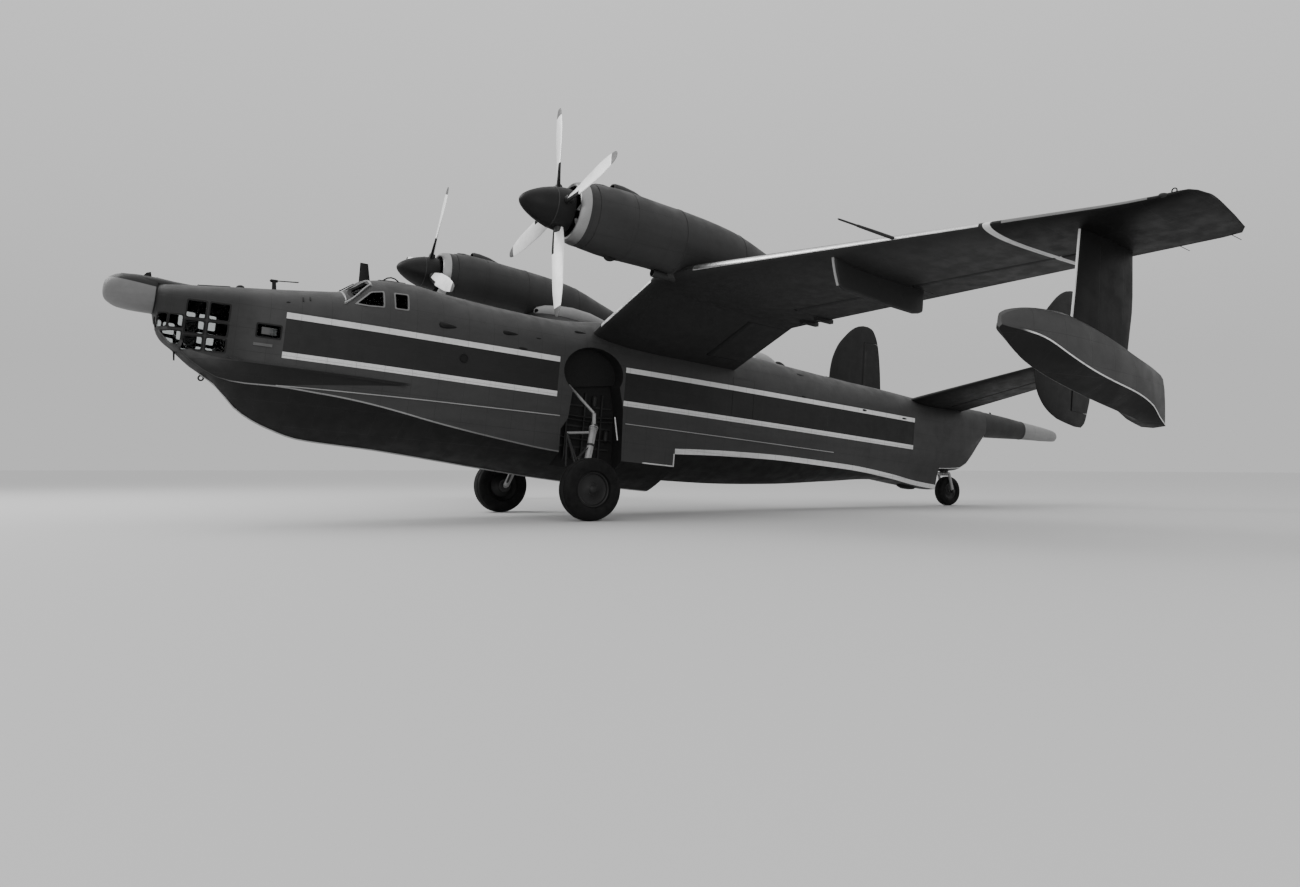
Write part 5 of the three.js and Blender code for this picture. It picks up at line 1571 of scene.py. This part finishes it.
# Floats and pylons
# columns: s, deck, chine, keel, half width
FLOAT = [(11.540, -0.215, -0.370, -0.415, 0.040), (11.620, -0.140, -0.400, -0.500, 0.110),
         (11.800, -0.070, -0.430, -0.640, 0.200), (12.150, -0.010, -0.500, -0.840, 0.320),
         (12.650, 0.005, -0.705, -0.990, 0.420), (13.200, -0.060, -0.870, -1.110, 0.440),
         (13.900, -0.200, -1.005, -1.240, 0.440), (14.500, -0.350, -1.090, -1.330, 0.400),
         (15.000, -0.455, -1.225, -1.400, 0.340), (15.250, -0.505, -1.375, -1.450, 0.290),
         (15.550, -0.580, -1.480, -1.505, 0.210)]
FLOAT_SLOTS = [0] * 7 + [2, 2] + [1] * 3


def float_ring(s, deck, chine, keel, half):
    deep = deck - chine
    side = [(0, deck), (half * 0.3, deck - 0.003), (half * 0.55, deck - 0.015),
            (half * 0.76, deck - deep * 0.1), (half * 0.9, deck - deep * 0.3),
            (half * 0.97, deck - deep * 0.55), (half, chine + deep * 0.2), (half, chine + 0.028),
            (half + 0.012, chine + 0.026), (half + 0.012, chine),
            (half * 0.66, chine * 0.62 + keel * 0.38), (half * 0.33, chine * 0.28 + keel * 0.72), (0, keel)]
    return [(x, s, w) for x, w in side] + [(-x, s, w) for x, w in side[-2:0:-1]]


float_body = lofted("float_body", float_ring, dense(FLOAT, 0.16), (M_FLOAT, M_SHADED_BOTTOM, M_CHINE),
                    FLOAT_SLOTS + FLOAT_SLOTS[::-1])
place_pair(moved(float_body, (FLOAT_X, 0, 0)), "float_body", stands_for=("wing_float",), slot="hull_paint")

# Struts: w, front, rear, thickness; store racks: s, bottom, half width
STRUT = [(-0.7, 13.18, 14.715, 0.15), (0.5, 13.305, 14.875, 0.16), (1.8, 13.41, 14.825, 0.17)]
RACK = [(12.01, 1.64, 0.015), (12.05, 1.46, 0.045), (12.11, 1.26, 0.062), (12.19, 1.06, 0.072),
        (12.33, 0.995, 0.075), (13.46, 0.892, 0.075), (14.22, 0.852, 0.072), (14.40, 0.885, 0.060),
        (14.50, 0.930, 0.030)]
RACK_TOP = 1.75
MASK_S, MASK_TOP = (8.0, 18.0), 6


def plate_ring(x, w, s0, s1, thick):
    return [(x + thick / 2 * d, (s0 + s1) / 2 - (s1 - s0) / 2 * c, w) for c, d in turns(28)]


def rack_ring(s, bottom, half):
    side = [(half, RACK_TOP), (half, bottom + 0.07), (half * 0.75, bottom + 0.02)]
    outline = [(-x, w) for x, w in side] + [(0, bottom)] + side[::-1]
    return [(STORE_X + x, s, w) for x, w in outline]


def wing_mask(x0, x1):
    """A block that fills everything above the wing's middle line between x0 and x1."""
    rings = []
    for x in (x0, x1):
        ls, lw, ts, tw, _ = table_at(WING, x)
        slope = (tw - lw) / (ts - ls)
        middle = [(x, s, lw + (s - ls) * slope) for s in MASK_S]
        rings.append(middle + [(x, s, MASK_TOP) for s in MASK_S[::-1]])
    return loft("mask", rings)


strut_rings = [plate_ring(FLOAT_X, w, *table_at(STRUT, w)) for w in np.linspace(-0.45, 1.78, 9)]
strut = cut(loft("float_strut", strut_rings, (M_WING,)), wing_mask(12.5, 13.2))
place_pair(strut, "float_strut", stands_for=("float_pylon",), slot="wing_paint")
rack = cut(lofted("store_rack", rack_ring, RACK, (M_WING,)), wing_mask(8.0, 8.8))
place_pair(rack, "store_rack", stands_for=("store_pylon",), slot="wing_paint")
rack_edge = [(Vector((STORE_X, s - 0.004, w)), Vector((0, -1, -0.1)).normalized()) for s, w, _ in RACK[:4]]
place_pair(ribbon("rack_edge", rack_edge, 0.056, 0.010, mats=(M_TRIM,)), "rack_edge", slot="pale_paint",
           weighted=False)
strut_edge = [(Vector((FLOAT_X, table_at(STRUT, w)[0] + 0.004, w)), -AFT)
              for w in np.linspace(-0.10, 1.66, 12)]
place_pair(ribbon("strut_edge", strut_edge, 0.034, 0.010, mats=(M_WHITE,)), "strut_edge", slot="pale_paint",
           weighted=False)

# Thin caps that wrap the leading edge: bare metal inboard, and towards the tip pale paint that is a painted
# highlight along the edge; from x, to x, sections, material
EDGE_CAPS = ((1.32, 3.38, 14, M_EDGE), (4.98, 11.45, 14, M_EDGE), (11.85, 14.15, 8, M_FAINT))
EDGE_ABOVE, EDGE_BELOW, EDGE_LIFT, EDGE_STEPS = 0.011, 0.002, 0.004, 5
EDGE_SHARES = ([(c, 1) for c in np.linspace(EDGE_ABOVE, 0, EDGE_STEPS)]
               + [(c, -1) for c in np.linspace(0, EDGE_BELOW, EDGE_STEPS)[1:]])


def edge_ring(x, ls, lw, ts, tw, thick):
    front, chord = Vector((x, ls, lw)), Vector((0, ts - ls, tw - lw))
    up = chord.cross(OUT).normalized()
    ahead = -chord.normalized()
    outer, inner = [], []
    for c, sign in EDGE_SHARES:
        half = thick * streamline(c) if c > 0 else 0.0
        p = front + chord * float(c) + up * (camber(thick, c) + sign * half)
        out = (up * sign + ahead).normalized() if c > 0 else ahead
        outer.append(p + out * EDGE_LIFT)
        inner.append(p - out * 0.02)
    return outer + inner[::-1]


for k, (x0, x1, count, mat) in enumerate(EDGE_CAPS):
    rows = [(x, *table_at(WING, x)) for x in np.linspace(x0, x1, count)]
    place_pair(lofted("wing_edge", edge_ring, rows, (mat,)), f"wing_edge_{k}", slot="bare_metal")

# Small wing parts: trailing edge brackets, tip lamp, hoop and wicks
BRACKET = [(14.55, 1.345), (14.62, 1.215), (15.10, 1.205), (15.10, 1.29), (14.9, 1.36)]
brackets = [prism("bracket", BRACKET, 0, x - 0.06, x + 0.06, (M_WING,)) for x in (4.42, 4.95)]
place_pair(brackets, "wing_brackets", slot="wing_paint")
lamp_spot = (Vector((14.40, 13.205, 1.705)), Vector((0.1, -1, 0.25)).normalized())
hoop = [(14.56 + 0.04 * c, 13.22, 1.735 + 0.04 * d) for c, d in turns(16)]
tip_parts = [blister("lamp", lamp_spot, ACROSS, 0.16, 0.07, 0.05, (M_STEEL,), 0.4),
             tube("hoop", hoop, 0.010, 8, (M_DARK,), closed=True)]
tip_parts += [tube("wick", [(x, s, w), (x + 0.05, s + 0.20, w - 0.05)], 0.006, 6, (M_DARK,))
              for x, s, w in ((14.45, 14.96, 1.462), (13.6, 14.98, 1.445))]
place_pair(tip_parts, "wing_tip_parts", slot="dark_trim")


# Landing gear; ground points are [x, y from the bow, z above the ground]
def ground(p):
    x, y, z = p
    up = z - DATUM_Z
    return Vector((x, y * COS - up * SIN, y * SIN + up * COS))


TYRE_STEP = math.cos(math.pi / 24)
AXLE_Z, TAIL_AXLE_Z = 0.726 * TYRE_STEP, 0.475 * TYRE_STEP
LEG_POINTS = {
    "axle_in": (2.23, 9.86, AXLE_Z), "axle_cut": (2.775, 9.86, AXLE_Z), "knee": (1.75, 10.42, 2.21),
    "crown": (1.75, 10.422, 2.52), "link_end": (1.799, 10.364, 2.06), "brace_top": (0.76, 10.206, 3.286),
    "fore_pivot": (1.18, 9.98, 2.06), "aft_pivot": (0.82, 10.9, 2.33), "truss_high": (1.80, 9.93, 1.389),
    "truss_low": (1.80, 9.648, 1.246), "rod_top": (1.30, 11.248, 2.475), "rod_foot": (1.30, 11.323, 1.896),
}
GEAR = {name: ground(p) for name, p in LEG_POINTS.items()}
STEEL, ENAMEL, WHITE = (M_STEEL,), (M_GEAR,), (M_WHITE,)

# Bars of the main leg: from, to, radius, radius at the far end, sides, material
BARS = (
    ("axle_in", "axle_cut", 0.061, 0.061, 20, ENAMEL), ("axle_in", "knee", 0.078, 0.088, 20, ENAMEL),
    ("knee", "aft_pivot", 0.062, 0.062, 20, ENAMEL), ("knee", "crown", 0.046, 0.046, 20, ENAMEL),
    ("crown", "brace_top", 0.036, 0.036, 20, ENAMEL), ("link_end", "fore_pivot", 0.034, 0.034, 20, ENAMEL),
    ("axle_in", "fore_pivot", 0.032, 0.040, 20, STEEL), ("fore_pivot", "truss_high", 0.022, 0.022, 14, STEEL),
    ("fore_pivot", "truss_low", 0.022, 0.022, 14, STEEL), ("rod_top", "rod_foot", 0.016, 0.016, 12, WHITE),
)
DRUM = [(0.0, 0), (0.0, 0.150), (0.014, 0.168), (0.050, 0.168), (0.064, 0.150), (0.064, 0)]


def rod(a, b, radius, sides=20, mats=ENAMEL, end=None):
    return tube("rod", [a, b], 0, sides, mats, radii=[radius, end or radius])


def leg_fittings():
    """Ribbed knob at the knee, brake drum inboard of the tyre, torque links and clamps down the leg."""
    knee, axle = GEAR["knee"], GEAR["axle_in"]
    down = axle - knee
    along = down.normalized()
    parts = []
    for k in range(4):
        a = knee + along * (0.03 + 0.045 * k)
        parts.append(rod(a, a + along * 0.022, 0.112 - 0.006 * k, 24))
    parts.append(rod(knee - ACROSS * 0.10, knee + ACROSS * 0.10, 0.050, 20, STEEL))
    parts.append(moved(lathe("drum", DRUM, 32, STEEL, axis=(1, 0, 0)), axle + ACROSS * 0.045))
    elbow = knee + down * 0.52 - AFT * 0.26
    for start in (knee + down * 0.34, knee + down * 0.74):
        for side in (-0.045, 0.045):
            a, b = start - AFT * 0.05 + ACROSS * side, elbow + ACROSS * side * 0.4
            parts.append(rod(a, b, 0.016, 10, STEEL))
    parts.append(rod(elbow - ACROSS * 0.04, elbow + ACROSS * 0.04, 0.024, 14, STEEL))
    for share, radius in ((0.30, 0.098), (0.74, 0.092)):
        a = knee + down * share
        parts.append(rod(a, a + along * 0.05, radius, 24, STEEL))
    return parts


bars = [rod(GEAR[a], GEAR[b], radius, sides, mats, end) for a, b, radius, end, sides, mats in BARS]
place_pair(bars + leg_fittings(), "gear_leg", stands_for=("main_leg",), slot="gear_paint")


def tyre(name, radius, width, rim):
    """Side wall rows are (share of the half width, radius); two grooves run beside the crown."""
    wall = [(0.72, rim), (0.93, rim + 0.03), (1, rim + 0.10), (0.995, radius - 0.14), (0.93, radius - 0.07),
            (0.78, radius - 0.025), (0.45, radius - 0.002), (0.42, radius - 0.012), (0.36, radius - 0.012),
            (0.33, radius)]
    w = width / 2
    rows = [(-w * share, r) for share, r in wall] + [(w * share, r) for share, r in wall[::-1]]
    return lathe(name, rows + rows[:1], 56, (M_RUBBER,), axis=(1, 0, 0))


def rim_disc(width, rim, bore):
    rows = [(-0.7, bore), (-0.7, bore + 0.05), (-0.35, rim - 0.09), (-0.6, rim - 0.02), (-0.7, rim - 0.001),
            (0.7, rim - 0.001), (0.66, rim - 0.03), (0.5, rim - 0.05), (0.42, rim - 0.11), (0.5, bore + 0.12),
            (0.62, bore + 0.08), (0.68, bore + 0.02), (0.7, bore), (-0.7, bore)]
    return lathe("disc", [(width / 2 * share, r) for share, r in rows], 48, (M_HUB,), axis=(1, 0, 0))


def hub_fittings(half, bore, capped):
    """A cap over the axle's end and a ring of bolts."""
    cap = [(0.70, 0.0), (0.70, bore + 0.036), (0.74, bore + 0.034), (0.82, bore + 0.008), (0.85, 0.0)]
    parts = []
    if capped:
        parts.append(lathe("cap", [(half * share, r) for share, r in cap], 28, (M_HUB,), axis=(1, 0, 0)))
    for c, d in turns(8):
        at = Vector((0, c, d)) * (bore + 0.065)
        parts.append(rod(at + ACROSS * half * 0.50, at + ACROSS * half * 0.71, 0.011, 8, STEEL))
    return parts


# Wheels: name of the pieces, tyre radius and width, rim radius, bore, whether a cap covers the axle
WHEELS = {"main": ("wheel", 0.726, 0.5, 0.4, 0.062, True), "tail": ("tail", 0.475, 0.33, 0.255, 0.036, False)}


def wheel(kind, side, hub, flip=1):
    """Tyre and rim of one wheel; side ends the names of its pieces, body and nodes."""
    piece, radius, width, rim, bore, capped = WHEELS[kind]
    rubber = tyre(f"{piece}_rubber{side}", radius - 0.004, width, rim)
    disc = merged(f"{piece}_disc{side}", [rim_disc(width, rim, bore)] + hub_fittings(width / 2, bore, capped))
    for obj, node, slot in ((rubber, "tyre", "tyre"), (disc, "rim", "gear_paint")):
        if flip < 0:
            obj.data.transform(Matrix.Rotation(math.pi, 4, "Z"))
        place(moved(obj, hub), f"{kind}_wheel{side}", level=False, stands_for=(f"{kind}_{node}{side}",),
              slot=slot)


wheel("main", "_port", (2.61, 9.86 + BOW_Y, AXLE_Z))
wheel("main", "_starboard", (-2.61, 9.86 + BOW_Y, AXLE_Z), -1)
wheel("tail", "", (0, 24.49 + BOW_Y, TAIL_AXLE_Z))

# Tail fork: post, arms, axle with nuts, steering jacks on lugs and a collar
POST_Y, CROWN_Y, TAIL_AXLE_Y, ARM_X = 24.33, 24.346, 24.49, 0.225
fork = [rod(ground((0, POST_Y, 1.42)), ground((0, POST_Y, 1.014)), 0.085, 28)]
for x in (-ARM_X, ARM_X):
    crown, eye = ground((x, CROWN_Y, 1.027)), ground((x, TAIL_AXLE_Y, TAIL_AXLE_Z))
    fork.append(rod(crown, eye, 0.045, end=0.05))
    fork.append(rod(ground((0, CROWN_Y, 1.027)), crown, 0.06))
fork.append(rod(ground((-0.26, TAIL_AXLE_Y, TAIL_AXLE_Z)), ground((0.26, TAIL_AXLE_Y, TAIL_AXLE_Z)), 0.035))
lug = ground((0, POST_Y, 1.20)) + Vector((0, 0.02, 0.03))
for x in (-0.15, 0.15):
    fork.append(rod(lug + ACROSS * x, ground((x, CROWN_Y, 1.09)), 0.022, 14, STEEL))
    fork.append(rod(lug, lug + ACROSS * x, 0.028, 14))
for x in (-ARM_X, ARM_X):
    eye = ground((x, TAIL_AXLE_Y, TAIL_AXLE_Z))
    fork.append(rod(eye - ACROSS * 0.062, eye + ACROSS * 0.062, 0.062, 6, STEEL))
fork.append(rod(ground((0, POST_Y, 1.16)), ground((0, POST_Y, 1.06)), 0.108, 28, STEEL))
place(merged("tail_fork_bars", fork), "tail_steering", stands_for=("tail_fork",), slot="gear_paint")

# Aerial blade on the cabin roof (x, w, front, rear, thickness) and the pitot boom (ahead, above, radius)
ROOF_BLADE = ((0, 1.03, 5.105, 5.39, 0.06), (0, 1.575, 5.09, 5.275, 0.03))
PITOT_X = 9.82
PITOT = ((-1.40, 0.075, 0.010), (-1.37, 0.074, 0.018), (-0.95, 0.055, 0.020), (-0.93, 0.054, 0.026),
         (-0.50, 0.035, 0.032), (0.2, 0.0, 0.036))
place(lofted("roof_blade", plate_ring, ROOF_BLADE, (M_DARK,)), stands_for=("roof_aerial",), slot="dark_trim")
root, _ = wing_at(WING, PITOT_X, 0.02)
pitot = tube("pitot", [root + Vector((0, s, w)) for s, w, _ in PITOT], 0, 20, STEEL,
             radii=[r for _, _, r in PITOT])
place(pitot, stands_for=("pitot_boom",), slot="bare_metal")


# Camera, light and floor
FLOOR_HALF, FLOOR_GREY = 260, (0.54, 0.54, 0.54, 1)
SKY_GREY = (0.80, 0.80, 0.80, 1)
SKY_RISE = (("From Min", 0.10), ("From Max", 1.0), ("To Min", 0.80), ("To Max", 1.50))
# Lamps: name, power, place, aim, size
LAMPS = (("key", 9000, (-16, -26, 26), (0, 0, 3), 22), ("fill", 1900, (34, -18, 14), (0, -2, 3), 24))
CAM = {"at": (22.98, -0.958 + BOW_Y, 1.246), "yaw": 0.548, "pitch": 0.068, "roll": 0.002, "focal_px": 998.8,
       "frame_px": 1300, "rise_px": 45.0}


def studio_floor():
    r = FLOOR_HALF
    floor = make("floor", [(-r, -r, 0), (r, -r, 0), (r, r, 0), (-r, r, 0)], [(0, 1, 2, 3)])
    mat = bpy.data.materials.new("floor_paint")
    mat.use_nodes = True
    bsdf = mat.node_tree.nodes["Principled BSDF"]
    bsdf.inputs["Base Color"].default_value = FLOOR_GREY
    bsdf.inputs["Roughness"].default_value = 0.85
    floor.data.materials.append(mat)


def sky():
    """An overcast sky: bright overhead, paler towards the horizon."""
    world = bpy.data.worlds.new("studio")
    bpy.context.scene.world = world
    world.use_nodes = True
    background = world.node_tree.nodes["Background"]
    background.inputs[0].default_value = SKY_GREY
    nodes, links = world.node_tree.nodes, world.node_tree.links
    coords = nodes.new("ShaderNodeTexCoord")
    split = nodes.new("ShaderNodeSeparateXYZ")
    rise = nodes.new("ShaderNodeMapRange")
    links.new(coords.outputs["Generated"], split.inputs[0])
    links.new(split.outputs[2], rise.inputs["Value"])
    for key, value in SKY_RISE:
        rise.inputs[key].default_value = value
    links.new(rise.outputs[0], background.inputs[1])


def lamps():
    for name, energy, at, aim, size in LAMPS:
        light = bpy.data.lights.new(name, "AREA")
        light.energy = energy
        light.size = size
        lamp = linked(name, light)
        lamp.location = at
        lamp.rotation_euler = (Vector(aim) - Vector(at)).to_track_quat("-Z", "Y").to_euler()


def camera():
    data = bpy.data.cameras.new("photo_camera")
    cam = linked("photo_camera", data)
    yaw, pitch, roll = CAM["yaw"], CAM["pitch"], CAM["roll"]
    forward = Vector((-math.cos(yaw) * math.cos(pitch), math.sin(yaw) * math.cos(pitch), math.sin(pitch)))
    right = forward.cross(Vector((0, 0, 1))).normalized()
    up = right.cross(forward)
    r = right * math.cos(roll) + up * math.sin(roll)
    u = up * math.cos(roll) - right * math.sin(roll)
    cam.matrix_world = Matrix((
        (r.x, u.x, -forward.x, CAM["at"][0]), (r.y, u.y, -forward.y, CAM["at"][1]),
        (r.z, u.z, -forward.z, CAM["at"][2]), (0, 0, 0, 1)))
    data.sensor_width = 36
    data.lens = 36 * CAM["focal_px"] / CAM["frame_px"]
    data.shift_y = -CAM["rise_px"] / CAM["frame_px"]
    data.clip_end = 2000
    bpy.context.scene.camera = cam


studio_floor()
sky()
lamps()
camera()
